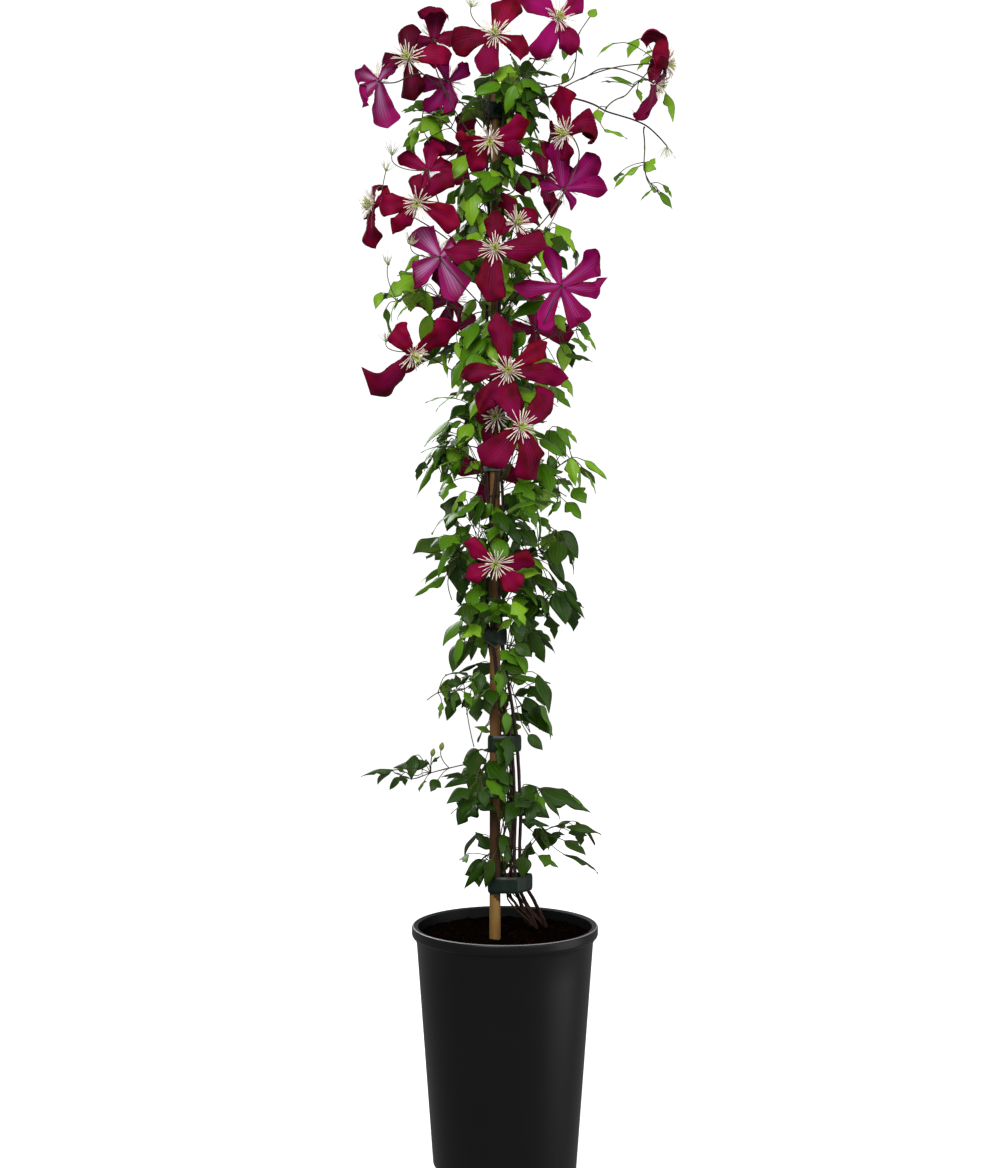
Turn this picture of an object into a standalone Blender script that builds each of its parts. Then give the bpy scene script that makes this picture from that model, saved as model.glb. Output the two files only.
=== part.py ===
"""A small-flowered wine-red clematis tied to one cane in a tall nursery pot.

Lengths are millimetres here, and each object's points are turned into metres as it is made.
+Z is up, the front is -Y, and the origin is the centre of the pot's underside.
"""
import math

import bmesh
import bpy
import numpy as np
from mathutils.bvhtree import BVHTree

METRE = 0.001
GAP = 0.3

# Pot
POT_HEIGHT = 200.0
POT_TOP_RADIUS = 75.4
POT_LIP_HEIGHT = 7.0
POT_BODY_TOP_RADIUS = 72.0
POT_BASE_RADIUS = 57.6
POT_WALL = 2.0
POT_FLOOR = 2.5
POT_SIDES = 30
DRAIN_SLOTS = 5
DRAIN_WIDTH = 36.0
DRAIN_HEIGHT = 9.0
DRAIN_TURN = 38.4
DRAIN_INNER, DRAIN_OUTER = 53.0, 62.0
SOIL_LEVEL = 193.0

# Cane and vine stems
CANE_X, CANE_Y = -8.0, -13.0
CANE_FOOT, CANE_TOP = 30.0, 880.0
CANE_FOOT_RADIUS, CANE_TOP_RADIUS = 4.5, 3.6
CANE_JOINTS = (262.0, 402.0, 548.0, 690.0, 812.0)
STEM_RADIUS = 1.7
STEM_TOP_RADIUS = 1.3
HUG_RADIUS = 6.5

# Ties
TIE_HEIGHT = 13.0
TIE_WALL = 1.2
TIE_LEVELS = (235.0, 348.0, 434.0, 573.0, 715.0, 855.0)

# Viewing point of the picture: its height, its distance and the size of one picture point
EYE_X, EYE_Y, EYE_Z = -4.0, -1280.0, 476.0
PICTURE_SCALE = 1578.0
PICTURE_CENTRE = (500.0, 584.0)

# The arching bough, as places in the picture with a depth
ARCH_FOOT_LEVEL = 838.0
ARCH_PLACES = ((518, 112, -6), (525, 102, -6), (539, 98, -5), (563, 97, -4), (590, 103, -2),
               (608, 112, 0), (628, 118, 2), (645, 125, 4), (658, 136, 5), (667, 146, 6))
ARCH_RADII = (1.5, 0.9)

# Twigs and stalks
SHOOT_RADII = (1.25, 0.8)
SHOOT_SWAY = 26.0
STALK_RADIUS = 0.9
PETIOLE_RADIUS = 0.75

# Leaflets and sepals
LEAF_THICKNESS = 1.0
SEPAL_THICKNESS = 1.1
SEPAL_HALF_WIDTH = 0.29
SEPAL_LIFT = 12.0

# Growth: the room kept clear round each part, and the leaflets added to those seen in the picture
SPARE = 0.35
EXTRA_SHARE = 0.5
EXTRA_TRIES = 12
EXTRA_LENGTHS = (20.0, 34.0)
EXTRA_REACH = 36.0
FLOWER_SHOWS = 30.0
TIES_IN_VIEW = ((487, 117), (492, 640))
TIE_SHOWS = 17.0
SMALLEST_LEAF = 19.0
GROWTH_SEED = 21


def seen(place, depth):
    """The point at this depth (y) on the sight line through a place in the picture."""
    size = (depth - EYE_Y) / PICTURE_SCALE
    across = EYE_X + (place[0] - PICTURE_CENTRE[0]) * size
    up = EYE_Z + (PICTURE_CENTRE[1] - place[1]) * size
    return np.array([across, depth, up])


def unit(vector):
    vector = np.asarray(vector, float)
    return vector / max(np.linalg.norm(vector), 1e-9)


def square_to(direction, axis):
    """The part of direction that is square to the axis, as a unit vector."""
    axis = unit(axis)
    rest = np.asarray(direction, float) - axis * np.dot(direction, axis)
    if np.linalg.norm(rest) < 1e-3:
        rest = np.cross(axis, (0.31, 0.23, 0.92))
    return unit(rest)


# Shapes, each as points and faces

def tube(path, radii, sides, level_foot=False):
    """A round bar swept along a path: one ring of points at each place, carried on without twist."""
    path = np.asarray(path, float)
    count = len(path)
    ahead = np.gradient(path, axis=0)
    if level_foot:
        ahead[0] = (0.0, 0.0, 1.0)
    side = square_to((0.9, 0.3, 0.1), ahead[0])
    turn = np.arange(sides) * 2 * math.pi / sides
    points = []
    for index in range(count):
        side = square_to(side, ahead[index])
        other = np.cross(unit(ahead[index]), side)
        ring = np.outer(np.cos(turn), side) + np.outer(np.sin(turn), other)
        points.append(path[index] + radii[index] * ring)
    faces = []
    for index in range(count - 1):
        for step in range(sides):
            here, there = index * sides + step, index * sides + (step + 1) % sides
            faces.append((here, there, there + sides, here + sides))
    faces.append(tuple(range(sides))[::-1])
    faces.append(tuple(range((count - 1) * sides, count * sides)))
    return np.concatenate(points), faces


def lathe(profile, sides):
    """A closed outline of (radius, height) turned about the upright axis; radius 0 is one point."""
    turn = np.arange(sides) * 2 * math.pi / sides
    points, rings = [], []
    for radius, height in profile:
        if radius == 0:
            rings.append([len(points)] * sides)
            points.append((0.0, 0.0, height))
        else:
            rings.append(list(range(len(points), len(points) + sides)))
            points.extend(zip(radius * np.cos(turn), radius * np.sin(turn), [height] * sides))
    faces = []
    for low, high in zip(rings, rings[1:]):
        for step in range(sides):
            after = (step + 1) % sides
            corners = (low[step], low[after], high[after], high[step])
            face = tuple(dict.fromkeys(corners))
            if len(face) > 2:
                faces.append(face)
    return np.array(points), faces


def prism(outline, inner, low, high):
    """A closed band: two outlines of equal count, one inside the other, between two heights."""
    count = len(outline)
    points = [(x, y, z) for loop in (outline, inner) for z in (low, high) for x, y in loop]
    faces = []
    for step in range(count):
        after = (step + 1) % count
        outer_low, outer_high, inner_low, inner_high = (row * count for row in range(4))
        faces.append((outer_low + step, outer_low + after, outer_high + after, outer_high + step))
        faces.append((inner_low + after, inner_low + step, inner_high + step, inner_high + after))
        faces.append((outer_high + step, outer_high + after, inner_high + after, inner_high + step))
        faces.append((outer_low + after, outer_low + step, inner_low + step, inner_low + after))
    return np.array(points), faces


def bezier(start, start_pull, end_pull, end, count):
    """Points along a smooth curve that leaves start towards start_pull and reaches end from end_pull."""
    share = np.linspace(0, 1, count)[:, None]
    back = 1 - share
    return (back ** 3 * start + 3 * back ** 2 * share * start_pull
            + 3 * back * share ** 2 * end_pull + share ** 3 * end)


# Materials and objects

def material(name, colour, roughness=0.6):
    made = bpy.data.materials.get(name)
    if made is None:
        made = bpy.data.materials.new(name)
        made.use_nodes = True
        shader = made.node_tree.nodes["Principled BSDF"]
        shader.inputs["Base Color"].default_value = (*colour, 1.0)
        shader.inputs["Roughness"].default_value = roughness
        made.diffuse_color = (*colour, 1.0)
    return made


def add_object(name, points, faces, look):
    mesh = bpy.data.meshes.new(name)
    mesh.from_pydata((np.asarray(points) * METRE).tolist(), [], faces)
    facing_out = bmesh.new()
    facing_out.from_mesh(mesh)
    bmesh.ops.recalc_face_normals(facing_out, faces=facing_out.faces)
    facing_out.to_mesh(mesh)
    facing_out.free()
    made = bpy.data.objects.new(name, mesh)
    bpy.context.scene.collection.objects.link(made)
    mesh.materials.append(look)
    return made


def apply_boolean(target, operation, solver, collection=None, cutter=None):
    """Joins or cuts, keeps the result as the object's own mesh, and reports its face count."""
    boolean = target.modifiers.new("join", "BOOLEAN")
    boolean.operation = operation
    boolean.solver = solver
    if collection is not None:
        boolean.operand_type = "COLLECTION"
        boolean.collection = collection
    else:
        boolean.object = cutter
    graph = bpy.context.evaluated_depsgraph_get()
    joined = bpy.data.meshes.new_from_object(target.evaluated_get(graph))
    target.modifiers.clear()
    old = target.data
    target.data = joined
    bpy.data.meshes.remove(old)
    return len(joined.polygons)


def keep_outer_skin(made):
    """Fills hollows that joining sealed and drops loose scraps: only the largest closed skin stays."""
    mesh = bmesh.new()
    mesh.from_mesh(made.data)
    waiting = set(mesh.verts)
    skins = []
    while waiting:
        edge_of_search = [waiting.pop()]
        skin = set(edge_of_search)
        while edge_of_search:
            for edge in edge_of_search.pop().link_edges:
                for vertex in edge.verts:
                    if vertex in waiting:
                        waiting.discard(vertex)
                        skin.add(vertex)
                        edge_of_search.append(vertex)
        skins.append(skin)
    if len(skins) > 1:
        def reach(skin):
            places = np.array([tuple(vertex.co) for vertex in skin])
            return np.linalg.norm(places.max(axis=0) - places.min(axis=0))

        skins.sort(key=reach)
        for skin in skins[:-1]:
            bmesh.ops.delete(mesh, geom=list(skin), context="VERTS")
        mesh.to_mesh(made.data)
    mesh.free()


def sound(made):
    """Whether each edge of the skin, with points closer than 0.0015 mm taken as one, has two faces."""
    mesh = bmesh.new()
    mesh.from_mesh(made.data)
    bmesh.ops.triangulate(mesh, faces=mesh.faces)
    bmesh.ops.remove_doubles(mesh, verts=mesh.verts, dist=0.0015 * METRE)
    bmesh.ops.dissolve_degenerate(mesh, edges=mesh.edges, dist=0.0015 * METRE)
    bmesh.ops.triangulate(mesh, faces=mesh.faces)
    mesh.verts.index_update()
    places = np.array([tuple(vertex.co) for vertex in mesh.verts]) / METRE
    faces = np.array([[vertex.index for vertex in face.verts] for face in mesh.faces])
    mesh.free()
    _, welded = np.unique(np.round(places / 2e-4).astype(np.int64), axis=0, return_inverse=True)
    faces = welded.reshape(-1)[faces]
    ends = np.sort(np.concatenate([faces[:, [0, 1]], faces[:, [1, 2]], faces[:, [2, 0]]]), axis=1)
    ends = ends[ends[:, 0] != ends[:, 1]]
    return bool((np.unique(ends, axis=0, return_counts=True)[1] == 2).all())


def fuse_soundly(name, shapes, spare_shapes, look):
    """Fuses all the shapes. If that skin touches itself, the spare ones are tried one by one instead."""
    made = fuse(name, shapes + spare_shapes, look)
    if sound(made):
        return made
    kept = list(shapes)
    for shape in spare_shapes:
        bpy.data.objects.remove(made)
        made = fuse(name, kept + [shape], look)
        if sound(made):
            kept.append(shape)
    bpy.data.objects.remove(made)
    return fuse(name, kept, look)


def fuse(name, shapes, look):
    """One solid from a list of closed shapes that run into one another."""
    target = add_object(name, *shapes[0], look)
    others = bpy.data.collections.new(name + "_pieces")
    bpy.context.scene.collection.children.link(others)
    for number, (points, faces) in enumerate(shapes[1:]):
        piece = add_object(f"{name}_{number}", points, faces, look)
        bpy.context.scene.collection.objects.unlink(piece)
        others.objects.link(piece)
    if len(shapes) > 1:
        apply_boolean(target, "UNION", "MANIFOLD", collection=others)
        keep_outer_skin(target)
    for piece in list(others.objects):
        bpy.data.objects.remove(piece)
    bpy.data.collections.remove(others)
    return target


# Routes of the cane and the three vine stems

def hug(level, start_turn):
    """A point beside the cane, going slowly round it with height."""
    turn = start_turn + (level - 430.0) / 430.0 * 1.25 * 2 * math.pi
    return np.array([CANE_X + HUG_RADIUS * math.cos(turn), CANE_Y + HUG_RADIUS * math.sin(turn), level])


STEM_FEET = (
    ((34.0, 19.0), (28.0, 10.0), (14.5, -8.0), (12.5, -9.0), (9.5, -9.5)),
    ((26.0, 13.0), (20.0, 5.0), (9.5, -15.0), (8.0, -17.0), (5.0, -16.5)),
    ((20.0, 24.0), (15.0, 15.0), (6.0, -4.5), (5.5, -3.5), (3.5, -4.5)),
)
STEM_FOOT_LEVELS = (SOIL_LEVEL + GAP, 210.0, 236.0, 292.0, 348.0)
STEM_START_TURNS = (math.radians(20), math.radians(-100), math.radians(140))
STEM_TOPS = (846.0, 872.0, 858.0)


def stem_route(number):
    """Places and radii of a vine stem, from its flat cut at soil level to its tip beside the cane."""
    low = [np.array([*place, level]) for place, level in zip(STEM_FEET[number], STEM_FOOT_LEVELS)]
    turn = STEM_START_TURNS[number]
    levels = np.linspace(430.0, STEM_TOPS[number], 15)
    high = [hug(level, turn) for level in levels]
    controls = np.array(low + high)
    heights = controls[:, 2]
    fine = np.concatenate([np.linspace(heights[0], 430.0, 11)[:-1], levels])
    softened = np.stack([smooth_through(heights, controls[:, axis], fine) for axis in (0, 1)], axis=1)
    route = np.column_stack([softened, fine])
    share = (fine - fine[0]) / (fine[-1] - fine[0])
    radii = STEM_RADIUS + (STEM_TOP_RADIUS - STEM_RADIUS) * share
    radii = radii * (1 + 0.35 * np.exp(-(fine - SOIL_LEVEL) / 12.0))
    return route, radii


def smooth_through(heights, values, wanted):
    """A smooth line through given values: cubic pieces, each slope the mean of the two steps beside it."""
    steps = np.diff(heights)
    rises = np.diff(values) / steps
    slopes = np.concatenate([[rises[0]], (rises[:-1] + rises[1:]) / 2, [rises[-1]]])
    index = np.clip(np.searchsorted(heights, wanted, side="right") - 1, 0, len(steps) - 1)
    share = (wanted - heights[index]) / steps[index]
    squared, cubed = share ** 2, share ** 3
    leaving = (cubed - 2 * squared + share) * steps[index] * slopes[index]
    arriving = (cubed - squared) * steps[index] * slopes[index + 1]
    return ((2 * cubed - 3 * squared + 1) * values[index] + leaving
            + (3 * squared - 2 * cubed) * values[index + 1] + arriving)


def cane_radius(level):
    share = (level - SOIL_LEVEL) / (CANE_TOP - SOIL_LEVEL)
    return CANE_FOOT_RADIUS + (CANE_TOP_RADIUS - CANE_FOOT_RADIUS) * share


def tie_outline(level, routes, distance, sides=14):
    """A convex outline this far outside the cane and the stems through one tie's height.

    Each side is a straight line pushed out until it just clears every bar; corners are where
    neighbouring lines cross.
    """
    turn = np.arange(sides) * 2 * math.pi / sides
    ways = np.column_stack([np.cos(turn), np.sin(turn)])
    reach = ways @ (CANE_X, CANE_Y) + cane_radius(level) + 0.4
    for route, radii in routes:
        for height in np.linspace(level - TIE_HEIGHT / 2, level + TIE_HEIGHT / 2, 5):
            if height < route[-1, 2]:
                middle = [np.interp(height, route[:, 2], route[:, axis]) for axis in (0, 1)]
                radius = np.interp(height, route[:, 2], radii)
                reach = np.maximum(reach, ways @ middle + radius + 0.5)
    reach = reach + distance
    corners = []
    for step in range(sides):
        after = (step + 1) % sides
        corners.append(np.linalg.solve(ways[[step, after]], reach[[step, after]]))
    return np.array(corners)


# Flowers, each as (place in the picture, depth, facing, sepals)
# facing: degrees turned from the viewer towards the right, then degrees raised
# sepal: direction in the picture in degrees from the right, length, how far it curls back in degrees

FLOWERS = {
    "flower_pair_top_left": (
        ((408, 59), -42, (-5, 0), ((92, 31, 40), (183, 36, 150), (282, 33, 30), (10, 36, 40))),
        ((378, 81), -74, (-140, 30), ((205, 34, 150), (298, 38, 30), (150, 24, 60), (60, 22, 90))),
    ),
    "flower_pair_top_back": (
        ((434, 40), -20, (168, 25), ((78, 42, 150), (10, 20, 90), (190, 20, 90), (265, 22, 60))),
        ((448, 82), -16, (165, 5),
         ((235, 36, 100), (278, 36, 110), (30, 26, 100), (180, 26, 60), (110, 22, 60))),
    ),
    "flower_top": (
        ((495, 35), -58, (0, 5), ((70, 36, 30), (190, 40, 70), (256, 33, 30), (335, 36, 110))),
    ),
    "flower_top_right": (
        ((558, 19), -25, (15, 5), ((150, 36, 70), (40, 33, 50), (245, 38, 60), (298, 32, 60))),
    ),
    "flower_pair_far_right": (
        ((664, 64), -8, (98, 0), ((88, 40, 160), (0, 36, 130), (272, 30, 110), (180, 26, 110))),
        ((655, 84), -16, (118, -18), ((268, 40, 60), (235, 34, 50), (0, 30, 110), (85, 22, 120))),
    ),
    "flower_right": (
        ((567, 134), -40, (-48, 0), ((102, 38, 30), (15, 50, 300), (258, 22, 80), (168, 28, 60))),
        ((563, 189), -12, (170, 38), ((92, 44, 20), (46, 42, 25), (8, 36, 40), (168, 22, 60), (300, 20, 90))),
    ),
    "flower_neck": (
        ((490, 139), -55, (0, -35), ((27, 33, 30), (329, 29, 30), (190, 28, 40), (238, 31, 30))),
    ),
    "flower_pair_left": (
        ((418, 202), -52, (-5, -25),
         ((43, 36, 30), (97, 28, 120), (186, 33, 40), (232, 31, 30), (332, 36, 30))),
        ((428, 170), -14, (180, 20), ((150, 28, 50), (80, 24, 50), (20, 22, 60), (250, 20, 60))),
    ),
    "flower_far_left": (
        ((374, 204), -24, (-62, 5), ((100, 26, 150), (268, 36, 50), (180, 22, 90), (0, 20, 90))),
    ),
    "flower_striped": (
        ((440, 257), -62, (175, 10), ((128, 38, 130), (215, 38, 140), (295, 40, 60), (40, 24, 120))),
    ),
    "flower_middle": (
        ((495, 249), -68, (0, 0), ((92, 30, 25), (182, 38, 25), (262, 41, 30), (356, 39, 30))),
    ),
    "flower_middle_back": (
        ((516, 224), -30, (20, 10), ((112, 27, 40), (42, 27, 60), (300, 20, 60), (200, 20, 60))),
    ),
    "flower_magenta": (
        ((561, 286), -48, (178, 0),
         ((106, 33, 20), (33, 52, 130), (350, 46, 130), (298, 50, 120), (240, 38, 60), (183, 37, 20))),
    ),
    "flower_low_left": (
        ((412, 354), -45, (45, -35), ((21, 46, 40), (130, 34, 110), (236, 48, 40), (285, 26, 90))),
    ),
    "flower_centre": (
        ((508, 371), -60, (0, 0),
         ((101, 45, 25), (33, 40, 50), (353, 46, 40), (282, 37, 30), (236, 40, 30), (184, 39, 40))),
    ),
    "flower_pair_low": (
        ((520, 427), -70, (15, 0), ((118, 36, 30), (38, 39, 30), (291, 47, 90), (224, 42, 30))),
        ((497, 417), -38, (-10, 0), ((108, 22, 40), (235, 22, 60), (180, 18, 60))),
    ),
    "flower_lowest": (
        ((496, 563), -54, (0, -12), ((148, 29, 30), (205, 27, 40), (0, 29, 30), (308, 30, 30))),
    ),
    "flower_pair_back_high": (
        ((462, 150), 48, (165, 5), ((80, 32, 40), (170, 34, 50), (260, 33, 60), (350, 34, 40))),
        ((545, 178), 50, (-160, 10), ((100, 32, 40), (190, 34, 50), (280, 33, 60), (10, 34, 40))),
    ),
    "flower_pair_back_mid": (
        ((452, 300), 52, (160, 0), ((60, 34, 40), (120, 32, 50), (185, 34, 50), (245, 33, 60), (310, 34, 40))),
        ((535, 330), 55, (-165, 5), ((95, 34, 40), (180, 34, 50), (275, 33, 60), (0, 34, 40))),
    ),
    "flower_back_low": (
        ((488, 470), 50, (168, 6), ((80, 32, 40), (170, 34, 50), (260, 33, 60), (350, 34, 40))),
    ),
}

# Height on the vine where each flower's stalk leaves it
STALK_LEVELS = {
    "flower_pair_top_left": 838, "flower_pair_top_back": 826, "flower_top": 843, "flower_top_right": 868,
    "flower_pair_far_right": 862, "flower_right": 744, "flower_neck": 778, "flower_pair_left": 735,
    "flower_far_left": 728, "flower_striped": 690, "flower_middle": 686, "flower_middle_back": 694,
    "flower_magenta": 655, "flower_low_left": 626, "flower_centre": 604, "flower_pair_low": 556,
    "flower_lowest": 455, "flower_pair_back_high": 762, "flower_pair_back_mid": 640, "flower_back_low": 520,
}

# Leafy shoots, each as (height on the vine where it leaves, places its stem passes, leaves)
# stem place: across and down in the picture, then depth
# leaf: base and tip in the picture, width as a share of the length, and where it lies:
# 1 in front of the cane, 0 beside it, -1 behind it

SHOOTS = {
    "leaves_low_right": (262, ((524, 850, -4), (543, 832, -2), (566, 822, 4)), (
        (501, 845, 536, 840, 0.62, 1), (524, 856, 522, 878, 0.95, 1), (538, 856, 559, 867, 0.45, 0),
        (516, 887, 534, 896, 0.6, 1), (520, 820, 550, 825, 0.35, 0), (534, 829, 546, 839, 0.6, 0),
        (557, 827, 571, 820, 0.5, 0), (566, 827, 603, 832, 0.26, 0), (530, 848, 520, 862, 0.5, -1))),
    "leaves_low_right_upper": (303, ((520, 800, -4), (532, 794, 0), (541, 789, 4)), (
        (517, 792, 551, 818, 0.6, 0), (539, 789, 592, 812, 0.34, 0), (515, 816, 527, 808, 0.4, 0),
        (512, 800, 500, 820, 0.5, -1))),
    "leaves_low_left": (268, ((490, 853, -8), (484, 857, -4), (480, 862, 2)), (
        (490, 849, 475, 831, 0.6, 0), (486, 860, 464, 889, 0.3, 0), (492, 859, 485, 889, 0.4, 0),
        (492, 862, 506, 882, 0.5, -1))),
    "leaves_left_mid": (306, ((488, 793, -16), (482, 778, -12), (478, 758, -8)), (
        (475, 797, 455, 825, 0.75, 0), (476, 803, 498, 809, 0.6, 1), (510, 787, 477, 795, 0.62, 1),
        (484, 770, 444, 787, 0.42, 0), (479, 750, 463, 759, 0.8, 0), (494, 775, 510, 762, 0.5, -1))),
    "leaves_left_arm": (330, ((469, 764, 2), (434, 772, 6), (404, 779, 6), (395, 773, 4)), (
        (429, 763, 393, 767, 0.38, 0), (394, 770, 360, 774, 0.2, 0), (399, 777, 389, 790, 0.6, 0),
        (432, 762, 440, 756, 0.4, 0), (404, 772, 396, 766, 0.5, 0))),
    "leaves_mid_left_sprig": (412, (
        (483, 663, 2), (476, 678, 0), (462, 690, -4), (440, 692, -6), (427, 700, -8)), (
        (479, 663, 454, 674, 0.18, 0), (470, 675, 457, 687, 0.25, 0), (456, 691, 447, 722, 0.5, 0),
        (442, 702, 439, 719, 0.3, 0), (470, 694, 461, 708, 0.5, 0))),
    "leaves_mid_right": (400, ((504, 690, -18), (516, 697, -10), (524, 712, -8), (530, 732, -8)), (
        (502, 677, 551, 681, 0.22, 0), (489, 677, 501, 694, 0.5, 1), (490, 687, 493, 718, 0.7, 1),
        (501, 689, 519, 720, 0.5, 1), (515, 694, 532, 690, 0.6, 0), (522, 705, 555, 734, 0.52, 0),
        (528, 735, 544, 750, 0.6, 0), (500, 730, 517, 744, 0.7, 1), (490, 732, 475, 726, 0.45, 0),
        (510, 715, 530, 720, 0.5, -1))),
    "leaves_band_left": (452, ((488, 612, -14), (479, 625, -12), (476, 636, -8)), (
        (506, 604, 471, 625, 0.6, 1), (475, 631, 471, 661, 0.42, 0), (480, 632, 485, 659, 0.55, 0),
        (480, 599, 457, 621, 0.3, 0), (500, 651, 519, 665, 0.62, 1), (512, 620, 497, 631, 0.6, 1))),
    "leaves_band_right": (450, ((520, 618, -10), (536, 606, -6), (552, 594, 0)), (
        (522, 599, 536, 616, 0.62, 0), (537, 595, 550, 614, 0.72, 0), (522, 622, 517, 648, 0.55, 0),
        (530, 632, 545, 664, 0.5, 0), (555, 594, 568, 620, 0.45, 0), (564, 590, 585, 618, 0.25, 0),
        (512, 606, 524, 625, 0.6, -1))),
    "leaves_side_left_low": (500, ((484, 545, -8), (470, 542, -8), (458, 556, -6), (448, 570, -4)), (
        (458, 496, 447, 531, 0.62, 0), (479, 496, 467, 522, 0.6, 0), (492, 504, 480, 521, 0.6, 0),
        (457, 526, 472, 544, 0.62, 0), (456, 535, 442, 565, 0.58, 0), (455, 564, 420, 579, 0.2, 0),
        (446, 576, 413, 596, 0.25, 0), (456, 565, 465, 598, 0.45, 0), (475, 579, 482, 597, 0.5, 0),
        (449, 515, 460, 528, 0.6, -1))),
    "leaves_side_left_high": (556, ((482, 452, -8), (468, 446, -8), (456, 444, -6), (445, 450, -4)), (
        (465, 405, 449, 420, 0.75, 0), (481, 417, 464, 430, 0.62, 0), (461, 421, 441, 434, 0.35, 0),
        (450, 446, 461, 472, 0.62, 0), (457, 435, 470, 460, 0.5, 0), (441, 474, 455, 485, 0.8, 0),
        (480, 461, 464, 473, 0.62, 0), (444, 449, 415, 496, 0.16, 0), (474, 425, 482, 445, 0.5, -1))),
    "leaves_side_right_low": (478, ((514, 565, -6), (530, 555, -4), (545, 545, -2), (556, 530, 0)), (
        (557, 532, 580, 558, 0.7, 0), (541, 540, 563, 536, 0.5, 0), (505, 522, 523, 546, 0.62, 0),
        (537, 545, 514, 527, 0.6, 0), (535, 547, 525, 563, 0.75, 0), (522, 550, 492, 558, 0.5, 0),
        (536, 562, 532, 590, 0.62, 0), (547, 578, 550, 597, 0.8, 0), (550, 555, 565, 585, 0.45, 0),
        (565, 581, 578, 601, 0.35, 0), (541, 517, 552, 532, 0.5, 0))),
    "leaves_side_right_high": (540, ((514, 492, -6), (534, 482, -4), (552, 470, -2), (572, 458, 0)), (
        (547, 430, 567, 456, 0.6, 0), (557, 426, 571, 449, 0.42, 0), (565, 428, 578, 443, 0.3, 0),
        (550, 455, 555, 478, 0.5, 0), (570, 458, 575, 486, 0.52, 0), (584, 460, 609, 478, 0.3, 0),
        (530, 485, 541, 509, 0.75, 0), (510, 505, 531, 521, 0.52, 0), (561, 501, 547, 516, 0.35, 0),
        (566, 502, 582, 518, 0.75, 0), (502, 477, 519, 492, 0.6, 1), (525, 460, 534, 478, 0.6, -1))),
    "leaves_upper_left": (655, ((474, 322, 0), (450, 305, -4), (424, 290, -6), (397, 301, -6)), (
        (419, 276, 386, 297, 0.62, 0), (422, 287, 407, 309, 0.72, 0), (419, 255, 404, 272, 0.5, 0),
        (381, 292, 375, 308, 0.62, 0), (425, 292, 431, 318, 0.5, 0), (430, 315, 421, 346, 0.5, 0),
        (475, 299, 460, 321, 0.62, 0), (457, 342, 461, 362, 0.5, 0), (442, 352, 448, 378, 0.26, 0),
        (457, 260, 480, 285, 0.5, 0))),
    "leaves_upper_middle": (672, ((508, 320, -4), (512, 300, -2), (516, 280, 0)), (
        (522, 277, 500, 295, 0.52, 0), (545, 300, 511, 317, 0.52, 0), (525, 332, 512, 351, 0.72, 0),
        (500, 325, 485, 345, 0.6, -1), (495, 300, 480, 322, 0.6, -1), (505, 340, 520, 362, 0.6, -1))),
    "leaves_upper_right": (630, ((520, 352, 0), (542, 340, 2), (560, 334, 4), (576, 330, 4)), (
        (555, 315, 566, 332, 0.72, 0), (580, 329, 597, 350, 0.3, 0), (562, 375, 574, 397, 0.42, 0),
        (546, 387, 571, 406, 0.5, 0), (528, 372, 545, 385, 0.5, -1), (464, 400, 480, 394, 0.5, -1))),
    "leaves_shoulder_right": (712, ((518, 262, 0), (532, 246, 2), (548, 232, 2)), (
        (556, 224, 577, 250, 0.46, 0), (545, 227, 551, 242, 0.6, 0), (542, 241, 541, 254, 0.6, 0),
        (520, 240, 535, 262, 0.6, -1), (558, 256, 568, 270, 0.6, -1))),
    "leaves_shoulder_left": (742, ((490, 222, 0), (480, 210, 0), (470, 205, 0)), (
        (462, 205, 475, 220, 0.6, 0), (490, 201, 513, 214, 0.5, 0), (502, 186, 476, 200, 0.6, 0),
        (497, 160, 490, 177, 0.6, 0), (502, 162, 517, 180, 0.72, 0), (478, 222, 460, 238, 0.6, -1))),
    "leaves_neck_left": (806, ((482, 150, -4), (464, 140, -6), (440, 118, -8), (424, 108, -8)), (
        (429, 101, 404, 110, 0.45, 0), (422, 117, 446, 140, 0.72, 0), (416, 127, 411, 150, 0.42, 0),
        (438, 118, 451, 115, 0.3, 0), (470, 156, 445, 181, 0.6, 0), (444, 162, 425, 168, 0.5, 0),
        (475, 130, 460, 146, 0.5, -1))),
    "leaves_neck_right": (790, ((514, 158, -4), (526, 152, -4), (534, 160, -2), (538, 172, 0)), (
        (520, 139, 547, 155, 0.42, 0), (532, 176, 540, 187, 0.6, 0), (512, 150, 524, 168, 0.6, -1),
        (520, 175, 532, 192, 0.6, 0))),
    "leaves_crown": (866, ((505, 96, -6), (507, 88, -4), (512, 80, -2), (526, 74, 0)), (
        (529, 77, 552, 109, 0.46, 0), (501, 84, 474, 93, 0.66, 1), (504, 78, 481, 77, 0.45, 0),
        (515, 85, 505, 114, 0.52, 1), (524, 76, 514, 61, 0.52, 0), (516, 80, 494, 98, 0.62, 1),
        (508, 84, 524, 98, 0.6, -1))),
}

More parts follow.
